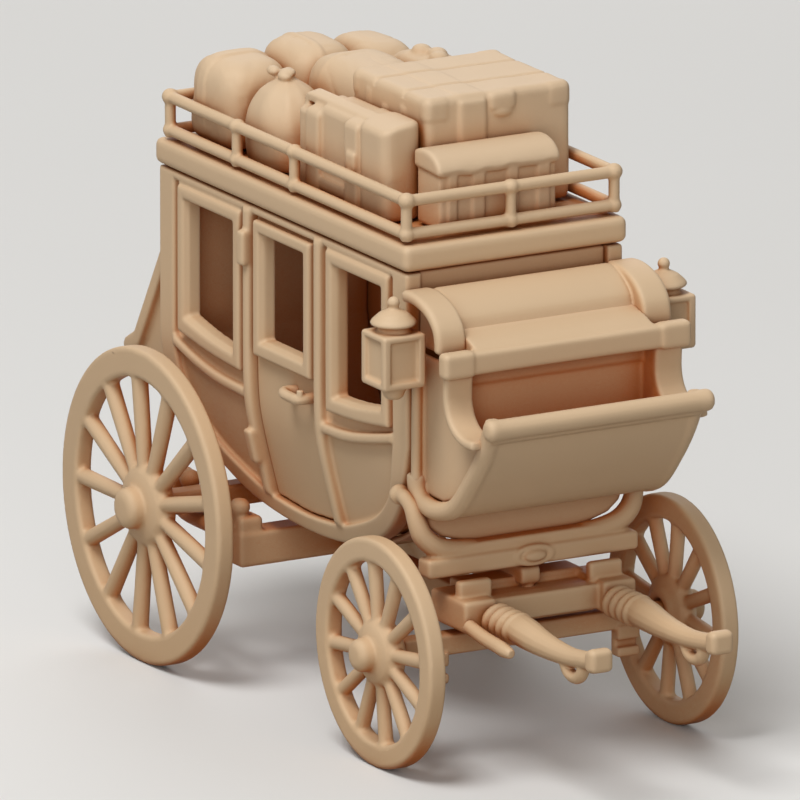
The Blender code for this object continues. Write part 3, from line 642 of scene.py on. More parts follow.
def wheels():
    for end, x, spec in (("rear", REAR_AXLE_X, REAR_WHEEL), ("front", FRONT_AXLE_X, FRONT_WHEEL)):
        mesh = wheel_mesh(spec)
        for label, side, turn in (("right", -1, 0.0), ("left", 1, math.pi)):
            wheel = "wheel_" + end + "_" + label
            spot = (x, side * (spec["face"] - WHEEL_WIDTH / 2), spec["radius"])
            finish_piece(wheel, mesh, GEAR, wheel, at=spot, turn=turn)


# ---- cabin ends, roof and rail ----


def shell_strip(x0, x1, near, far):
    """The part between two places along the cabin of a strip that follows the side's outline."""
    line = whole(BODY_CURVE, TOP)
    outer, inner = offset_line(line, near), offset_line(line, far)
    outer = [p for p in outer if x0 <= p[0] <= x1]
    inner = [p for p in inner if x0 <= p[0] <= x1]
    return outer + inner[::-1]


def offset_line(line, distance):
    """An open line moved sideways, to its right as it runs."""
    moved_line = []
    for i, (x, z) in enumerate(line):
        a, b = line[max(i - 1, 0)], line[min(i + 1, len(line) - 1)]
        dx, dz = b[0] - a[0], b[1] - a[1]
        length = math.hypot(dx, dz)
        moved_line.append((x + dz / length * distance, z - dx / length * distance))
    return moved_line


SHELL_HALF = 15.4
FRONT_PANEL_FOOT = 64.0
FRONT_FRAME = 1.4


def shell_rule(points):
    """Narrows the cabin's ends and floor with the sides' tumblehome."""
    width = np.interp(points[:, 2], SIDE_HEIGHTS, SIDE_REACH) - WALL - 0.12
    points[:, 1] *= width / SHELL_HALF
    return points


def cabin_ends():
    for node, x0, x1 in (("rear_wall", -60.0, -33.3), ("floor", -32.8, 18.6), ("front_wall", 19.1, 40.0)):
        shells = [plate([shell_strip(x0, x1, 0.85, 3.2)], -SHELL_HALF, SHELL_HALF, rounding=0.15)]
        if node == "front_wall":
            x = MIDDLE + BODY_CURVE[0][0] - 0.9
            edge = box_loop(-SHELL_HALF, SHELL_HALF, FRONT_PANEL_FOOT, TOP)
            hole = box_loop(
                FRONT_FRAME - SHELL_HALF, SHELL_HALF - FRONT_FRAME, FRONT_PANEL_FOOT + FRONT_FRAME,
                TOP - FRONT_FRAME,
            )
            shells.append(plate([edge, hole], x - 0.8, x + 0.05, "X", rounding=0.2))
        if node == "floor":
            for y in (-9.0, -3.0, 3.0, 9.0):
                shells.append(block(-24.0, 10.0, y - 0.35, y + 0.35, 27.0, 28.3, 0.15))
        finish_piece(node, cast(shells, voxel=0.34, rule=shell_rule), BODY)


# Roof slab and rail: rear, front, half width, low, high
ROOF = (-45.0, 30.8, 18.9, 73.3, 77.4)
RAIL = (-42.2, 28.8, 17.6, 78.75, 83.8)
RAIL_POSTS_X = (-42.2, -21.9, -4.6, 28.8)
RAIL_CORNER = 1.1
DECK = 77.7
BOARDS = 12
BOARD_STEP = 2.945


def roof():
    x0, x1, half, z0, z1 = ROOF
    shells = [block(x0, x1, -half, half, z0, z1 - 0.15, 1.0, 4)]
    for i in range(BOARDS):
        y = -16.2 + i * BOARD_STEP
        shells.append(block(x0 + 1.8, x1 - 1.8, y - 1.36, y + 1.36, z1 - 1.2, z1 - 0.03, 0.2, 2))
    finish_piece("roof", cast(shells, voxel=0.34, melt=2, keep=0.16), BODY)


def roof_rail():
    x0, x1, half, low, high = RAIL
    shells = []
    for z in (low, high):
        corners = []
        for cx, cy, start in ((x1, half, 0), (x0, half, 90), (x0, -half, 180), (x1, -half, 270)):
            sx, sy = (1 if cx == x1 else -1), (1 if cy > 0 else -1)
            for step in range(5):
                angle = math.radians(start + step * 22.5)
                along = RAIL_CORNER * (math.cos(angle) - sx)
                across = RAIL_CORNER * (math.sin(angle) - sy)
                corners.append((cx + along, cy + across, z))
        shells.append(tube(corners, 0.93, cyclic=True, resolution=4))
    for x, y in [(x, side * half) for x in RAIL_POSTS_X for side in (-1, 1)] + [(x0, 0.0), (x1, 0.0)]:
        corner = x in (x0, x1) and y != 0.0
        shells.append(rod((x, y, DECK), (x, y, high), 0.85))
        shells.append(ball((x, y, high + 0.05), 1.3, (1.0, 1.0, 0.95) if corner else (1.0, 1.0, 0.85)))
        shells.append(ball((x, y, low), 1.15, (1.0, 1.0, 0.95)))
    finish_piece("roof_rail", cast(shells, voxel=0.24), BODY)


# ---- driver's end ----

BOX_SIDE = (15.4, 18.4)
BOX_FOOT = ((50.1, 50.3), (46.6, 45.6), (42.6, 41.7), (37.8, 39.9), (33.7, 40.0), (31.2, 42.5), (30.7, 50.0))
BOX_BOTTOM = [(0.0, 32.1), (10.3, 32.1), (14.2, 33.3), (16.2, 35.0), (16.6, 36.8), (16.6, 41.4)]
BAND_LINE = ((45.1, 61.0), (44.9, 58.6), (45.0, 56.8), (45.7, 55.0), (47.2, 53.6), (49.6, 52.8), (52.4, 52.9))


def driver_box():
    """Recessed sides, each edged by a wide band that runs from the seat's ear down to the roll."""
    near, far = BOX_SIDE
    wall = [(30.7, 61.0), (44.3, 61.0), *[(x - 0.6, z - 0.3) for x, z in BAND_LINE[1:]], *BOX_FOOT]
    band = through(BAND_LINE, 4)
    strip = band + offset_line(band, 1.35)[::-1]
    side = [plate([wall], near, far - 2.0, rounding=0.15)]
    side.append(plate([rounded_loop(strip, 0.4, 2)], near, 20.1, rounding=0.5, steps=3))
    side.append(tube([(31.6, 17.3, 59.8), (31.5, 17.4, 50.0), (31.6, 17.5, 42.0)], 0.85, resolution=4))
    shells = side + [mirrored(shell) for shell in side]
    shells.append(block(39.0, 41.0, -near - 0.4, near + 0.4, 41.3, 60.6, 0.25))
    bottom = BOX_BOTTOM + [(-y, z) for y, z in BOX_BOTTOM[:0:-1]]
    shells.append(plate([bottom], 28.2, 33.2, "X", rounding=0.4))
    shells.append(block(38.8, 41.5, -near - 0.4, near + 0.4, 58.2, 60.8, 0.4, 3))
    finish_piece("driver_box", cast(shells, melt=4), BODY)


def rounded_loop(loop, radius, steps=3):
    """A closed outline with its corners rounded off."""
    result = []
    count = len(loop)
    for i in range(count):
        before, here, after = Vector(loop[i - 1]), Vector(loop[i]), Vector(loop[(i + 1) % count])
        cut = min(radius, (before - here).length * 0.45, (after - here).length * 0.45)
        start = here + (before - here).normalized() * cut
        end = here + (after - here).normalized() * cut
        for s in range(steps + 1):
            t = s / steps
            spot = start * (1 - t) ** 2 + here * 2 * t * (1 - t) + end * t * t
            result.append((spot.x, spot.y))
    return result


# The dash board's curve, outside and inside, the hook at its rear foot and half of its roll
DASH = ((55.0, 55.0), (52.3, 49.6), (48.6, 44.4), (43.6, 39.2), (38.0, 37.4), (33.7, 37.6))
DASH_INNER = ((54.2, 56.0), (50.9, 50.0), (47.1, 45.2), (42.9, 41.0), (37.8, 39.2), (33.7, 39.4))
DASH_HOOK = ((33.7, 38.6), (32.4, 39.2), (31.6, 40.8), (31.5, 42.6))
ROLL = [(0.0, 19.2), (1.1, 19.1), (1.6, 18.6), (1.7, 18.0), (1.6, 17.2), (1.55, 16.0)]


def dash():
    outer, inner = through(DASH, 5), through(DASH_INNER, 5)
    thin = [(a[0] * 0.5 + b[0] * 0.5, a[1] * 0.5 + b[1] * 0.5) for a, b in zip(outer, inner)]
    deep = [(a[0] * 0.93 + b[0] * 0.07, a[1] * 0.93 + b[1] * 0.07) for a, b in zip(outer, inner)]
    shells = [plate([deep + inner[::-1]], -17.9, 17.9, rounding=0.25)]
    rim = thin + through(DASH_HOOK, 3)[1:]
    for side in (-1, 1):
        shells.append(tube([(x - 0.5, side * 17.1, z + 0.3) for x, z in rim], 1.5, resolution=4))
    roll = ROLL + [(r, -y) for r, y in reversed(ROLL)]
    shells.append(turned(roll, "Y", (DASH[0][0], 0.0, DASH[0][1]), 40))
    shells.append(rod((54.1, -17.9, 53.6), (54.1, 17.9, 53.6), 1.0))
    finish_piece("dash_board", cast(shells, voxel=0.27, melt=4), BODY, name="dash_casting")


SEAT_BOARD = ((33.0, 15.2), (43.7, 15.2), (43.7, 20.5), (46.1, 20.7))
ARM_TOP = ((30.9, 71.0), (33.4, 71.2), (36.4, 70.8), (39.4, 69.6), (41.5, 67.6), (42.2, 65.4), (42.3, 63.6))
ARM_OUTER = 19.9
SEAT_SLOPE = (
    (36.5, 62.0), (36.5, 66.9), (39.3, 66.3), (43.0, 65.4), (45.2, 64.5), (45.6, 63.4), (45.6, 62.0),
)
SEAT_BACK = ((30.9, 70.4), (32.2, 71.1), (34.4, 70.7), (36.9, 69.5), (38.7, 67.9), (39.3, 66.0))


def driver_seat():
    loop = [(x, -y) for x, y in SEAT_BOARD] + [(x, y) for x, y in reversed(SEAT_BOARD)]
    shells = [plate([rounded_loop(loop, 0.6)], 60.9, 64.5, "Z", rounding=0.7, steps=3)]
    shells += both_sides(43.7, 46.35, 15.6, 20.95, 60.7, 64.7, 0.75, 3)
    shells.append(plate([rounded_loop(SEAT_SLOPE, 0.5)], -15.1, 15.1, rounding=0.2))
    finish_piece("seat_board", cast(shells), BODY)
    back = [(30.9, 62.0)] + through(SEAT_BACK, 4) + [(39.3, 62.0)]
    band = through(ARM_TOP, 4)
    wall = [(30.9, 62.2)] + band[:-1] + [(42.0, 62.2)]
    strip = band + offset_line(band, 1.75)[::-1]
    shells = [plate([back], -14.75, 14.75, rounding=0.35, steps=3)]
    shells.append(plate([box_loop(31.0, 37.0, 62.0, 66.0)], -16.0, 16.0))
    for side in (-1, 1):
        y0, y1 = sorted((side * 15.0, side * 16.7))
        shells.append(plate([rounded_loop(wall, 0.3)], y0, y1, rounding=0.5, steps=3))
        y0, y1 = sorted((side * 15.1, side * ARM_OUTER))
        shells.append(plate([rounded_loop(strip, 0.35, 2)], y0, y1, rounding=0.75, steps=4))
    finish_piece("seat_back", cast(shells, melt=4), BODY)


LAMP = (34.3, 22.9, 62.0)
LAMP_HALF = 3.55
LAMP_POST = 0.62
LAMP_HAT = (
    (0.0, 9.3), (0.5, 9.2), (0.85, 8.8), (0.95, 8.3), (0.75, 7.8), (0.7, 7.5), (1.2, 7.3), (2.2, 6.8),
    (3.2, 5.9), (3.5, 5.4), (3.3, 5.1), (2.5, 4.9), (2.4, 3.6), (0.0, 3.6),
)
LAMP_FOOT = ((0.0, -3.6), (2.4, -3.8), (2.1, -4.5), (1.7, -5.1), (1.5, -5.7), (1.0, -6.2), (0.0, -6.4))


def lamps():
    x, y, z = LAMP
    half = LAMP_HALF
    shells = [block(x - half + 0.6, x + half - 0.6, y - half + 0.6, y + half - 0.6, z - 3.9, z + 3.9, 0.2)]
    for dx in (-1, 1):
        for dy in (-1, 1):
            cx, cy = x + dx * (half - LAMP_POST), y + dy * (half - LAMP_POST)
            post = (cx - LAMP_POST, cx + LAMP_POST, cy - LAMP_POST, cy + LAMP_POST)
            shells.append(block(*post, z - 4.0, z + 4.0, 0.3))
    for low, high in ((z - 4.15, z - 2.95), (z + 3.0, z + 4.1)):
        shells.append(block(x - half, x + half, y - half, y + half, low, high, 0.45, 3))
    shells += [turned(LAMP_HAT, "Z", LAMP, 48), turned(LAMP_FOOT, "Z", LAMP, 40)]
    finish_pair("lamp_{}", cast(shells, voxel=0.19, keep=0.35), BODY)


# The rear boot's body, its wider cover and the straps that hold the cover down
BOOT = [
    (-44.8, 62.5), (-45.4, 62.5), (-55.4, 44.7), (-58.6, 42.6), (-58.0, 41.0), (-54.4, 41.5),
    (-44.8, 41.5),
]
COVER = [
    (-45.0, 62.5), (-45.5, 62.5), (-55.5, 44.7), (-58.4, 43.0), (-57.6, 41.0), (-54.2, 42.6),
    (-45.0, 59.0),
]
COVER_STRAP = [(-45.6, 62.2), (-55.3, 45.3), (-55.9, 45.0), (-54.9, 44.0), (-45.2, 60.8)]


def rear_boot():
    shells = [plate([BOOT], -15.4, 15.4, rounding=0.3), plate([COVER], -16.6, 16.6, rounding=0.35)]
    shells.append(rod((-57.9, -16.5, 42.0), (-57.9, 16.5, 42.0), 1.05))
    for y in (-9.5, 9.5):
        shells.append(plate([COVER_STRAP], y - 1.1, y + 1.1, rounding=0.1))
        buckle = block(-51.9, -49.7, y - 1.7, y + 1.7, 53.0, 53.9, 0.2)
        shells.append(spin(buckle, math.radians(-60), "Y", (-50.8, y, 53.4)))
    finish_piece("rear_boot", cast(shells, voxel=0.3, keep=0.25), BODY)


# ---- running gear ----

SIDE_BAR = ((-24.3, 20.5), (-37.6, 20.5), (-40.2, 21.6), (-40.9, 24.2), (-39.4, 26.2), (-37.6, 25.9))
PERCH = (
    (-19.0, 17.1), (18.0, 17.1), (27.0, 24.5), (35.2, 24.5), (35.2, 27.4), (25.0, 27.4), (16.5, 19.9),
    (-19.0, 19.9),
)
CRADLE_ARM = (
    (33.9, 9.0, 31.2), (
        33.9, 12.6, 31.4,
    ), (33.9, 15.6, 32.2), (33.7, 17.6, 33.9), (33.4, 18.4, 36.0), (32.7, 18.9, 38.2),
    (31.2, 19.3, 39.6), (29.2, 19.0, 39.5),
)
SHAFT_LINE = (
    (41.4, 22.3), (43.0, 22.3), (45.6, 22.5), (48.6, 22.6), (51.4, 22.4), (57.2, 21.9), (64.0, 21.9),
    (69.0, 22.5), (73.6, 23.3),
)
SHAFT_RADII = (1.9, 1.9, 1.95, 2.2, 2.35, 1.9, 1.5, 1.4, 1.5)
SHAFT_Y = 10.2
COILS_X = (42.9, 44.9, 46.9, 48.8)
COIL_RADIUS = 1.85
SHAFT_TIP = ((71.4, 21.9), (72.4, 21.4), (74.1, 21.8), (74.1, 24.9), (72.8, 25.3), (71.4, 24.7))
SIDE_ROD = (
    (41.4, 14.2, 21.6), (46.0, 14.2, 20.9), (50.2, 14.2, 20.6), (52.2, 14.2, 20.4), (53.9, 14.1, 20.3),
)
BOLSTER_KNOB = (
    (0.0, 1.6), (1.0, 1.3), (1.55, 0.6), (1.55, -0.2), (1.2, -0.9), (0.9, -1.6), (1.2, -3.0),
    (0.0, -3.0),
)
CRADLE_BADGE = (35.9, 0.0, 29.3)
BADGE_BOSS = ((0.0, 1.3), (0.6, 1.25), (1.0, 0.9), (1.1, 0.3), (1.1, -1.0), (0.0, -1.0))
BADGE_RING = ((1.5, 0.45), (1.9, 0.4), (2.1, 0.0), (2.1, -1.0), (1.45, -1.0), (1.5, 0.45))


def axle(spec, x, thick):
    """A square axle beam with a round arm for each wheel."""
    z = spec["radius"]
    half = spec["face"] - WHEEL_WIDTH - 1.8
    tip = spec["face"] - WHEEL_WIDTH / 2 - 0.2
    t = thick / 2
    return [
        block(x - t, x + t, -half, half, z - t, z + t, 0.4, 3),
        rod((x, -tip, z), (x, tip, z), ARM_RADIUS - 0.02),
    ]


def rear_gear():
    shells = axle(REAR_WHEEL, REAR_AXLE_X, 3.4)
    for y in (-17.0, 17.0):
        for dx in (-1.25, 1.25):
            x = REAR_AXLE_X + dx
            shells.append(block(x - 0.3, x + 0.3, y - 1.3, y + 1.3, 22.35, 25.65, 0.15))
    finish_piece("rear_axle", cast(shells, voxel=0.24, keep=0.4), GEAR)
    shells = [block(-24.0, -19.3, -18.5, 18.5, 16.6, 21.9, 0.5, 3)]
    shells += both_sides(-23.7, -19.6, 14.4, 18.4, 20.0, 24.2, 0.7, 3)
    shells += [turned(BOLSTER_KNOB, "Z", (-21.65, y, 25.3), 32) for y in (-17.4, 17.4)]
    finish_piece("rear_bolster", cast(shells, voxel=0.26, melt=4), GEAR)
    path = through([(x, 16.9, z) for x, z in SIDE_BAR], 5)
    shells = [tube(path, 1.32, resolution=4), ball(path[-1], 1.55)]
    mesh = cast(shells, voxel=0.2, keep=0.5)
    finish_pair("rear_spring_bar_{}", mesh, GEAR, name="rear_bar_{}_casting")
    shells = [plate([rounded_loop(PERCH, 1.0)], -1.6, 1.6, rounding=0.4, steps=3)]
    shells.append(rod((FRONT_AXLE_X, 0.0, 20.6), (FRONT_AXLE_X, 0.0, 25.0), 0.98))
    finish_piece("perch", cast(shells, voxel=0.24), GEAR)


def front_cradle():
    shells = [block(32.4, 36.0, -17.9, 17.9, 27.75, 30.65, 0.6, 3)]
    shells.append(block(32.3, 35.3, -14.0, 14.0, 30.0, 32.3, 0.5, 3))
    for profile in (BADGE_BOSS, BADGE_RING):
        mesh = turned(profile, "X", steps=40)
        mesh.transform(Matrix.Diagonal((0.8, 1.75, 0.8, 1.0)))
        mesh.transform(Matrix.Translation(CRADLE_BADGE))
        shells.append(mesh)
    path = through(CRADLE_ARM, 5)
    steps = len(path) - 1
    taper = [0.75 + 0.35 * math.sin(math.pi * min(1.0, 0.15 + 1.1 * i / steps)) for i in range(steps + 1)]
    arm = [tube(path, 1.5, taper, resolution=4), ball(CRADLE_ARM[-1], 1.55)]
    shells += arm + [mirrored(shell) for shell in arm]
    finish_piece("front_cradle", cast(shells, voxel=0.23, melt=4, keep=0.35), GEAR)


def front_carriage():
    body = "front_carriage"
    shells = axle(FRONT_WHEEL, FRONT_AXLE_X, 3.2)
    shells += both_sides(33.6, 36.0, 14.3, 18.1, 11.6, 13.1, 0.35, 3)
    shells += both_sides(33.6, 36.0, 14.3, 18.1, 14.2, 16.4, 0.35, 3)
    shells += both_sides(33.6, 34.9, 14.3, 18.1, 11.8, 16.4)
    finish_piece("front_axle", cast(shells, voxel=0.22, keep=0.4), GEAR, body)
    shells = [block(36.5, 39.5, -10.0, 10.0, 20.7, 24.5, 0.4, 3)]
    shells.append(block(31.5, 36.9, -10.0, 10.0, 19.7, 24.2, 0.4, 3))
    shells.append(block(28.0, 33.0, -10.0, 10.0, 22.4, 25.5, 0.4, 3))
    shells += both_sides(30.4, 41.0, 9.0, 14.6, 20.2, 25.0, 0.55, 3)
    shells += both_sides(36.4, 38.2, 8.3, 13.9, 24.4, 27.4, 0.5, 3)
    finish_piece("axle_bed", cast(shells, voxel=0.24, melt=4), GEAR, body)
    line = through([(x, SHAFT_Y, z) for x, z in SHAFT_LINE], 4)
    radii = [r[0] for r in through([(r, 0.0) for r in SHAFT_RADII], 4)]
    shells = [tube(line, 1.0, radii, resolution=5)]
    turn = [2 * math.pi * i / 24 for i in range(24)]
    for x in COILS_X:
        coil = [
            (x + 0.55 * math.sin(a), SHAFT_Y + COIL_RADIUS * math.cos(a), 22.45 + COIL_RADIUS * math.sin(a))
            for a in turn
        ]
        shells.append(tube(coil, 0.8, cyclic=True, resolution=3))
    shells.append(plate([rounded_loop(SHAFT_TIP, 0.6)], SHAFT_Y - 1.9, SHAFT_Y + 1.9, rounding=0.85, steps=3))
    turn = [math.radians(-200 + 10 * i) for i in range(22)]
    eye = [(65.6 + 2.6 * math.cos(a), SHAFT_Y, 21.2 + 2.05 * math.sin(a)) for a in turn]
    shells += [tube(eye, 1.0, resolution=4), ball(eye[-1], 1.05)]
    mesh = cast(shells, voxel=0.19, melt=2, keep=0.35)
    finish_pair("shaft_{}", mesh, GEAR, body)
    line = through(SIDE_ROD, 4)
    radii = [1.15] * 11 + [1.12, 1.08, 1.02, 0.94, 0.82, 0.6]
    shells = [tube(line, 0.95, radii, resolution=4)]
    mesh = cast(shells, voxel=0.16, melt=2, keep=0.6)
    finish_pair("side_rod_{}", mesh, GEAR, body)


STRAP_REACH = 28.5


def thoroughbraces():
    under = [(x, z) for x, z in BODY_CURVE if x <= STRAP_REACH]
    line = through([(MIDDLE + x, z) for x, z in under] + [(MIDDLE - x, z) for x, z in under[-2::-1]], 4)
    loop = offset_line(line, -0.35) + offset_line(line, 0.45)[::-1]
    shells = [plate([loop], 6.5, 10.5, rounding=0.25)]
    finish_pair("thoroughbrace_{}", cast(shells, voxel=0.22, melt=2), GEAR)


# ---- luggage: hard castings of sacks, rolls and trunks ----

# Rear, front, right, left, top and squareness
SOFT_LOAD = {
    "tied_sack": (-26.4, -12.6, -15.9, -4.9, 92.3, 2.6),
    "rear_bedroll": (-41.2, -26.8, -16.2, -4.0, 91.3, 3.3),
    "rear_sack": (-41.0, -25.4, -5.0, 6.9, 92.9, 3.1),
    "middle_sack": (-27.4, -3.6, -5.0, 8.2, 93.4, 3.3),
    "far_sack": (-41.0, -23.5, 6.0, 16.3, 92.1, 3.0),
    "far_bale": (-24.4, -4.2, 7.4, 16.3, 92.6, 4.0),
}
KNOT_BALLS = ((-3.3, -0.5), (-1.2, 0.9), (0.5, -0.8))
BALE_KNOBS = ((-17.6, 11.4), (-14.6, 12.4), (-12.4, 11.4))
BALE_STRAPS = (-18.6, -10.4)
# Share of the sack's width and height, from its foot up to its knot
KNOTTED = (
    (0.0, 0.0), (0.8, 0.0), (0.97, 0.1), (1.0, 0.38), (0.93, 0.62), (0.7, 0.8), (0.38, 0.9),
    (0.15, 0.955), (0.11, 0.975), (0.16, 0.985), (0.22, 1.0), (0.15, 1.04), (0.0, 1.05),
)
CREASES = {"rear_bedroll": 0.16, "rear_sack": 0.2, "middle_sack": 0.2, "far_sack": 0.2, "far_bale": 0.16}


def pillow(spec, square, crease, seed):
    """A plump closed form, flat where it rests, with soft dents and creases."""
    x0, x1, y0, y1, top = spec
    centre = np.array(((x0 + x1) / 2, (y0 + y1) / 2, (DECK + top) / 2))
    half = np.array(((x1 - x0) / 2, (y1 - y0) / 2, (top - DECK) / 2)) * 0.992

    def shape(points):
        way = points / np.linalg.norm(points, axis=1)[:, None]
        reach = (np.abs(way) ** square).sum(axis=1) ** (-1.0 / square)
        under = way[:, 2] < 0.0
        boxy = (np.abs(way) ** (square + 2.0)).sum(axis=1) ** (-1.0 / (square + 2.0))
        reach = np.where(under, reach + (boxy - reach) * np.clip(-way[:, 2] * 1.6, 0.0, 1.0), reach)
        result = centre + way * reach[:, None] * half
        for i, spot in enumerate(result):
            dent = noise.noise(Vector(spot) * 0.13 + Vector((seed, 0.0, 0.0)))
            fold = noise.noise(
                Vector((spot[0] * 0.16, spot[1] * 0.3, spot[2] * 0.22)) + Vector((0.0, seed, 3.0))
            )
            sharp = max(0.0, 1.0 - abs(fold) * 9.0) ** 2
            result[i] -= way[i] * (crease * (0.5 + dent * 1.6) + sharp * crease * 0.8)
        return result

    mesh = built(lambda bm: bmesh.ops.create_icosphere(bm, subdivisions=6, radius=1.0))
    return warped(mesh, shape)


def around(spec, square, level, width, thick, axis="X"):
    """A strap round a pillow at one place along it."""
    x0, x1, y0, y1, top = spec
    a = [(y0 + y1) / 2, (DECK + top) / 2] if axis == "X" else [(x0 + x1) / 2, (DECK + top) / 2]
    along = (x0 + x1) / 2 if axis == "X" else (y0 + y1) / 2
    half_along = (x1 - x0) / 2 if axis == "X" else (y1 - y0) / 2
    half = [(y1 - y0) / 2, (top - DECK) / 2] if axis == "X" else [(x1 - x0) / 2, (top - DECK) / 2]
    shrink = max(0.05, 1.0 - abs((level - along) / half_along) ** square) ** (1.0 / square)
    loops = []
    for grow in (thick, -1.2):
        loop = []
        for i in range(72):
            t = 2 * math.pi * i / 72
            c, s = math.cos(t), math.sin(t)
            reach = (abs(c) ** square + abs(s) ** square) ** (-1.0 / square)
            p = a[0] + c * reach * (half[0] * shrink + grow)
            q = a[1] + s * reach * (half[1] * shrink + grow)
            loop.append((p, max(q, DECK + 0.05)))
        loops.append(loop)
    return plate(loops, level - width / 2, level + width / 2, axis, rounding=0.2)


def strap_loop(low, high, level, width, thick, top, axis, foot=DECK + 0.05, soft=0.8):
    """A flat strap over a box: up one side, across the top and down the other."""
    outer = [
        (low - thick, foot), (low - thick, top + thick), (high + thick, top + thick),
        (high + thick, foot),
    ]
    inner = [(low + 1.0, foot), (low + 1.0, top - 1.0), (high - 1.0, top - 1.0), (high - 1.0, foot)]
    loop = rounded_loop(outer, soft)
    return plate([loop + inner[::-1]], level - width / 2, level + width / 2, axis, rounding=0.15)


def sacks():
    for number, (name, (*spec, square)) in enumerate(SOFT_LOAD.items()):
        x0, x1, y0, y1, top = spec
        cx, cy = (x0 + x1) / 2, (y0 + y1) / 2
        if name == "tied_sack":
            shells = [knotted(spec, square)]
            shells += [ball((cx + dx, cy + dy, top - 1.0), 0.95, (1.5, 1.0, 0.8)) for dx, dy in KNOT_BALLS]
        else:
            shells = [pillow(spec, square, CREASES[name], 7.0 + 11.0 * number)]
        if name == "rear_bedroll":
            shells.append(around(spec, square, cx - 1.6, 2.2, 0.18))
        if name == "rear_sack":
            shells.append(around(spec, square, cy - 1.0, 0.9, 0.05, "Y"))
        if name == "middle_sack":
            shells.append(around(spec, square, cx - 4.8, 1.1, 0.05))
        if name == "far_bale":
            shells += [around(spec, square, x, 1.7, 0.05) for x in BALE_STRAPS]
            shells += [ball((x, y, 92.7), 1.35, (1.25, 1.1, 0.75)) for x, y in BALE_KNOBS]
        finish_piece(name, cast(shells, keep=0.2), LOAD)


def knotted(spec, square):
    """An onion-shaped sack whose cloth is drawn up in folds to a knot."""
    x0, x1, y0, y1, top = spec
    centre = np.array(((x0 + x1) / 2, (y0 + y1) / 2))
    half = np.array(((x1 - x0) / 2, (y1 - y0) / 2)) * 0.99
    levels = through(KNOTTED, 4)
    turns = 96
    height = (top - DECK) / KNOTTED[-1][1]

    def action(bm):
        rows = []
        for share, level in levels[1:-1]:
            row = []
            for i in range(turns):
                t = 2 * math.pi * i / turns
                c, s = math.cos(t), math.sin(t)
                blend = min(1.0, max(0.0, (level - 0.45) / 0.3))
                full = (abs(c) ** square + abs(s) ** square) ** (-1.0 / square)
                reach = full * (1 - blend) + blend
                depth = 0.03 * min(1.0, max(0.0, (level - 0.35) * 2.2))
                reach *= share * (1.0 + depth * math.cos(9 * t + 0.9 * math.sin(2 * t)))
                x, y = centre + np.array((c, s)) * reach * half
                row.append(bm.verts.new((x, y, DECK + level * height)))
            rows.append(row)
        for low, high in zip(rows, rows[1:]):
            for i in range(turns):
                bm.faces.new((low[i], low[(i + 1) % turns], high[(i + 1) % turns], high[i]))
        bm.faces.new(rows[0][::-1])
        bm.faces.new(rows[-1])

    return built(action)


BIG_CHEST = (-3.8, 19.1, -8.7, 16.2, 95.9)
CHEST_STRAPS = ((1.6, 0.0), (6.5, 1.5), (11.8, 0.6))


def big_chest():
    """A big chest with a wide strap and flap in front, corner caps and straps on its near side."""
    x0, x1, y0, y1, top = BIG_CHEST
    shells = [block(x0 + 0.2, x1 - 0.2, y0 + 0.2, y1 - 0.2, DECK, top - 0.25, 1.1, 4)]
    shells.append(strap_loop(x0 + 0.3, x1 - 0.3, -0.85, 4.7, 0.2, top - 0.3, "Y", soft=1.5))
    shells.append(block(x1 - 1.5, x1 + 0.3, -3.2, 1.5, DECK, top - 1.0, 0.5, 3))
    shells.append(block(x1 - 1.5, x1 + 0.3, 2.0, 6.6, 92.6, top - 0.4, 0.8, 4))
    shells.append(ball((x1 - 0.35, 4.3, 92.6), 1.0, (0.7, 1.9, 1.0)))
    for y in (y0, y1):
        for x in (x0, x1):
            dx, dy = (1 if x == x0 else -1), (1 if y == y0 else -1)
            a, b = sorted((x + dx * 0.05, x + dx * 3.0))
            c, d = sorted((y + dy * 0.05, y + dy * 4.6))
            shells.append(block(a, b, c, d, top - 4.4, top - 0.14, 1.2, 4))
    for x, reach in CHEST_STRAPS:
        shells.append(block(x - 1.3, x + 1.3, y0 + 0.02, y0 + 2.0, DECK, top - 1.6 - reach, 0.8, 4))
    finish_piece("big_chest", cast(shells, voxel=0.26, melt=4, keep=0.2, rule=chest_grooves), LOAD)


def chest_grooves(points):
    """Two shallow grooves across the lid and a gently uneven surface."""
    lid = points[:, 2] > 94.6
    for x in (3.4, 11.9):
        depth = 0.28 * np.exp(-(((points[:, 0] - x - 0.02 * points[:, 1]) / 0.42) ** 2))
        points[lid, 2] -= depth[lid]
    for i, spot in enumerate(points):
        points[i] -= 0.12 * noise.noise(Vector(spot) * 0.21)
    return points


SIDE_TRUNK = (-15.9, -8.95, 92.5)
# Lengths of the side trunk: rear, front, how far its face stands back, how far its top lies down, corner
TRUNK_LENGTHS = (
    (-8.6, -4.4, 0.9, 2.0, 1.6),
    (-5.0, -0.9, 0.1, 1.0, 0.7),
    (-1.8, 8.2, 0.95, 0.5, 0.4),
    (6.9, 10.8, 0.0, 0.3, 0.5),
    (10.3, 18.5, 0.35, 0.0, 2.0),
)


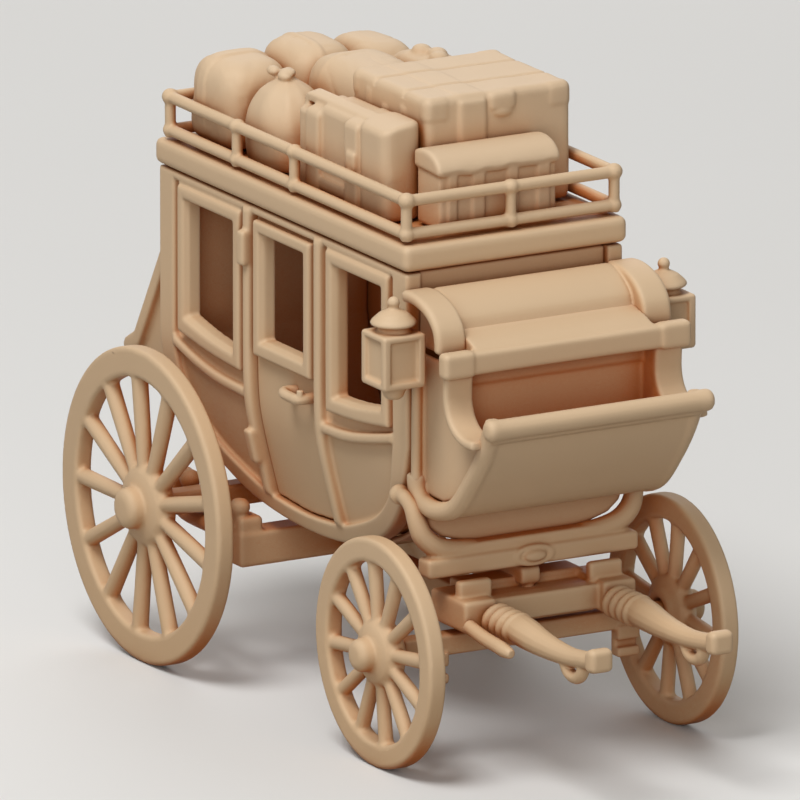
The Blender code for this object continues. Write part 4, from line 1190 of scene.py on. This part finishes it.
def side_trunk():
    """An upright soft-cornered trunk: flat panel, ribs, straps with buckles and a round-cornered end."""
    near, far, top = SIDE_TRUNK
    shells = []
    for a, b, back, crown, corner in TRUNK_LENGTHS:
        loop = rounded_loop([(a, near + back), (b, near + back), (b, far), (a, far)], corner, 5)
        shells.append(plate([loop], DECK, top - crown, "Z", rounding=0.75, steps=4))
    shells.append(block(7.9, 10.7, near - 0.4, near + 1.4, 83.8, 86.7, 0.45, 3))
    shells.append(ball((9.3, near - 0.1, 83.3), 1.0, (1.2, 0.7, 1.0)))
    strap = rounded_loop(box_loop(15.0, 18.35, -14.2, -11.5), 0.4)
    shells.append(plate([strap], DECK, top - 0.5, "Z", rounding=0.35))
    shells.append(block(16.6, 18.5, -14.6, -11.2, 83.4, 86.4, 0.5, 3))
    ledge = rounded_loop(box_loop(-1.6, 7.6, near + 0.3, near + 2.0), 0.4)
    shells.append(plate([ledge], 78.6, 80.6, "Z", rounding=0.4))
    shells.append(strap_loop(-8.0, 17.6, -12.7, 2.3, 0.3, top - 0.35, "Y", soft=1.5))
    finish_piece("side_trunk", cast(shells, voxel=0.23, melt=4, keep=0.25, rule=crowned_trunk), LOAD)


def crowned_trunk(points):
    """Lets the trunk's top fall towards its near edge."""
    near = np.clip((-9.4 - points[:, 1]) / 6.4, 0.0, 1.2)
    points[:, 2] -= 1.3 * near ** 2 * np.clip((points[:, 2] - 87.5) / 3.0, 0.0, 1.0)
    return points


FRONT_TRUNK = (-11.2, 9.6)
LID = ((26.9, 86.0), (27.15, 86.9), (26.5, 88.0), (25.2, 88.9), (23.2, 89.4), (21.2, 89.3), (19.5, 88.8))
TRUNK_STRAPS = ((-8.6, 1.6), (-4.2, 2.2), (1.6, 1.8), (6.8, 2.2))


def front_trunk():
    """A low trunk with a rounded lid and four upright straps."""
    y0, y1 = FRONT_TRUNK
    body = rounded_loop(box_loop(19.7, 26.6, 77.75, 87.0), 0.5)
    lid = [(19.5, 86.3)] + through(LID, 4)
    shells = [plate([body], y0 + 0.5, y1 - 0.5, rounding=0.5, steps=3)]
    shells.append(plate([lid], y0 + 0.02, y1 - 0.02, rounding=0.6, steps=4))
    for y, width in TRUNK_STRAPS:
        shells.append(block(26.2, 26.95, y - width / 2, y + width / 2, 78.0, 86.6, 0.3, 3))
    finish_piece("front_trunk", cast(shells, voxel=0.23, melt=4, rule=uneven_lid), LOAD)


def uneven_lid(points):
    """Lets the lid's lower edge dip and rise a little, as a soft cover does."""
    for i, spot in enumerate(points):
        if 84.9 < spot[2] < 88.1:
            near = 1.0 - abs(spot[2] - 86.5) / 1.6
            points[i][2] += max(0.0, near) * 0.6 * noise.noise(Vector((0.0, spot[1] * 0.28, 4.0)))
    return points


# ---- studio ----


FLOOR_HALF = 3.0
AIR_TONE = (1.0, 0.965, 0.92, 1.0)
AIR_STRENGTH = 0.27
# Place in metres, width and watts of each round lamp, and the spot that all of them look at
LAMPS = {
    "key_lamp": ((0.14, -0.42, 0.95), 0.5, 6.9),
    "fill_lamp": ((0.8, -0.55, 0.25), 0.7, 3.5),
    "back_lamp": ((-0.7, 0.4, 0.55), 0.6, 2.0),
}
LAMP_AIM = Vector((0.0, 0.0, 0.04))


def studio():
    """A flat pale floor, a faint light from all round and three soft lamps."""
    floor = Finish("studio_floor")
    grain = floor.add("ShaderNodeTexNoise", inputs={"Scale": 30.0, "Detail": 3.0})
    pale = floor.mix(grain, (0.74, 0.735, 0.72, 1.0), (0.78, 0.775, 0.76, 1.0))
    rays = ("Is Camera Ray", "Is Glossy Ray", "Is Transmission Ray")
    path = [floor.add("ShaderNodeLightPath", output=name) for name in rays]
    seen = (path[0] + path[1] + path[2]).held()
    floor.feed("Base Color", floor.mix(seen, (0.20, 0.18, 0.155, 1.0), pale))
    floor.feed("Roughness", 0.8)
    mesh = built(lambda bm: bmesh.ops.create_grid(bm, x_segments=2, y_segments=2, size=FLOOR_HALF))
    mesh.materials.append(floor.material)
    ground = bpy.data.objects.new("studio_floor", mesh)
    bpy.context.scene.collection.objects.link(ground)
    world = bpy.data.worlds.new("studio_air")
    bpy.context.scene.world = world
    world.use_nodes = True
    air = world.node_tree.nodes["Background"]
    air.inputs[0].default_value = AIR_TONE
    air.inputs[1].default_value = AIR_STRENGTH
    for name, (place, size, power) in LAMPS.items():
        lamp = bpy.data.lights.new(name, "AREA")
        lamp.shape = "DISK"
        lamp.size = size
        lamp.energy = power
        holder = bpy.data.objects.new(name, lamp)
        holder.location = place
        holder.rotation_euler = (LAMP_AIM - Vector(place)).to_track_quat("-Z", "Y").to_euler()
        bpy.context.scene.collection.objects.link(holder)


# The photograph's view in degrees and mm, with the pixels for each mm at the aim
VIEW_AZIMUTH = 60.3896
VIEW_ELEVATION = 14.92546
VIEW_DISTANCE = 5000.0
VIEW_SCALE = 6.73558
VIEW_CENTRE = (-2.0195, 43.10031)
SENSOR = 36.0
PHOTO_WIDTH = 800.0


def camera():
    """The photograph's view: far off and nearly parallel."""
    turn, rise = math.radians(VIEW_AZIMUTH), math.radians(VIEW_ELEVATION)
    right = Vector((math.cos(turn), math.sin(turn), 0.0))
    up = Vector((-math.sin(turn) * math.sin(rise), math.cos(turn) * math.sin(rise), math.cos(rise)))
    back = Vector((math.sin(turn) * math.cos(rise), -math.cos(turn) * math.cos(rise), math.sin(rise)))
    lens = bpy.data.cameras.new("photo_camera")
    lens.sensor_width = SENSOR
    lens.lens = SENSOR * VIEW_SCALE * VIEW_DISTANCE / PHOTO_WIDTH
    lens.clip_start = 0.1
    lens.clip_end = 40.0
    eye = bpy.data.objects.new("photo_camera", lens)
    spot = right * VIEW_CENTRE[0] + up * VIEW_CENTRE[1] + back * VIEW_DISTANCE
    eye.location = (spot + Vector((SHIFT_X, 0.0, 0.0))) * MM
    eye.rotation_euler = back.to_track_quat("Z", "Y").to_euler()
    bpy.context.scene.collection.objects.link(eye)
    bpy.context.scene.camera = eye


cabin_sides()
doors()
wheels()
cabin_ends()
roof()
roof_rail()
driver_box()
dash()
driver_seat()
lamps()
rear_boot()
rear_gear()
front_cradle()
front_carriage()
thoroughbraces()
sacks()
big_chest()
side_trunk()
front_trunk()
dress_nodes()
studio()
camera()
bpy.context.scene.view_settings.view_transform = "Standard"
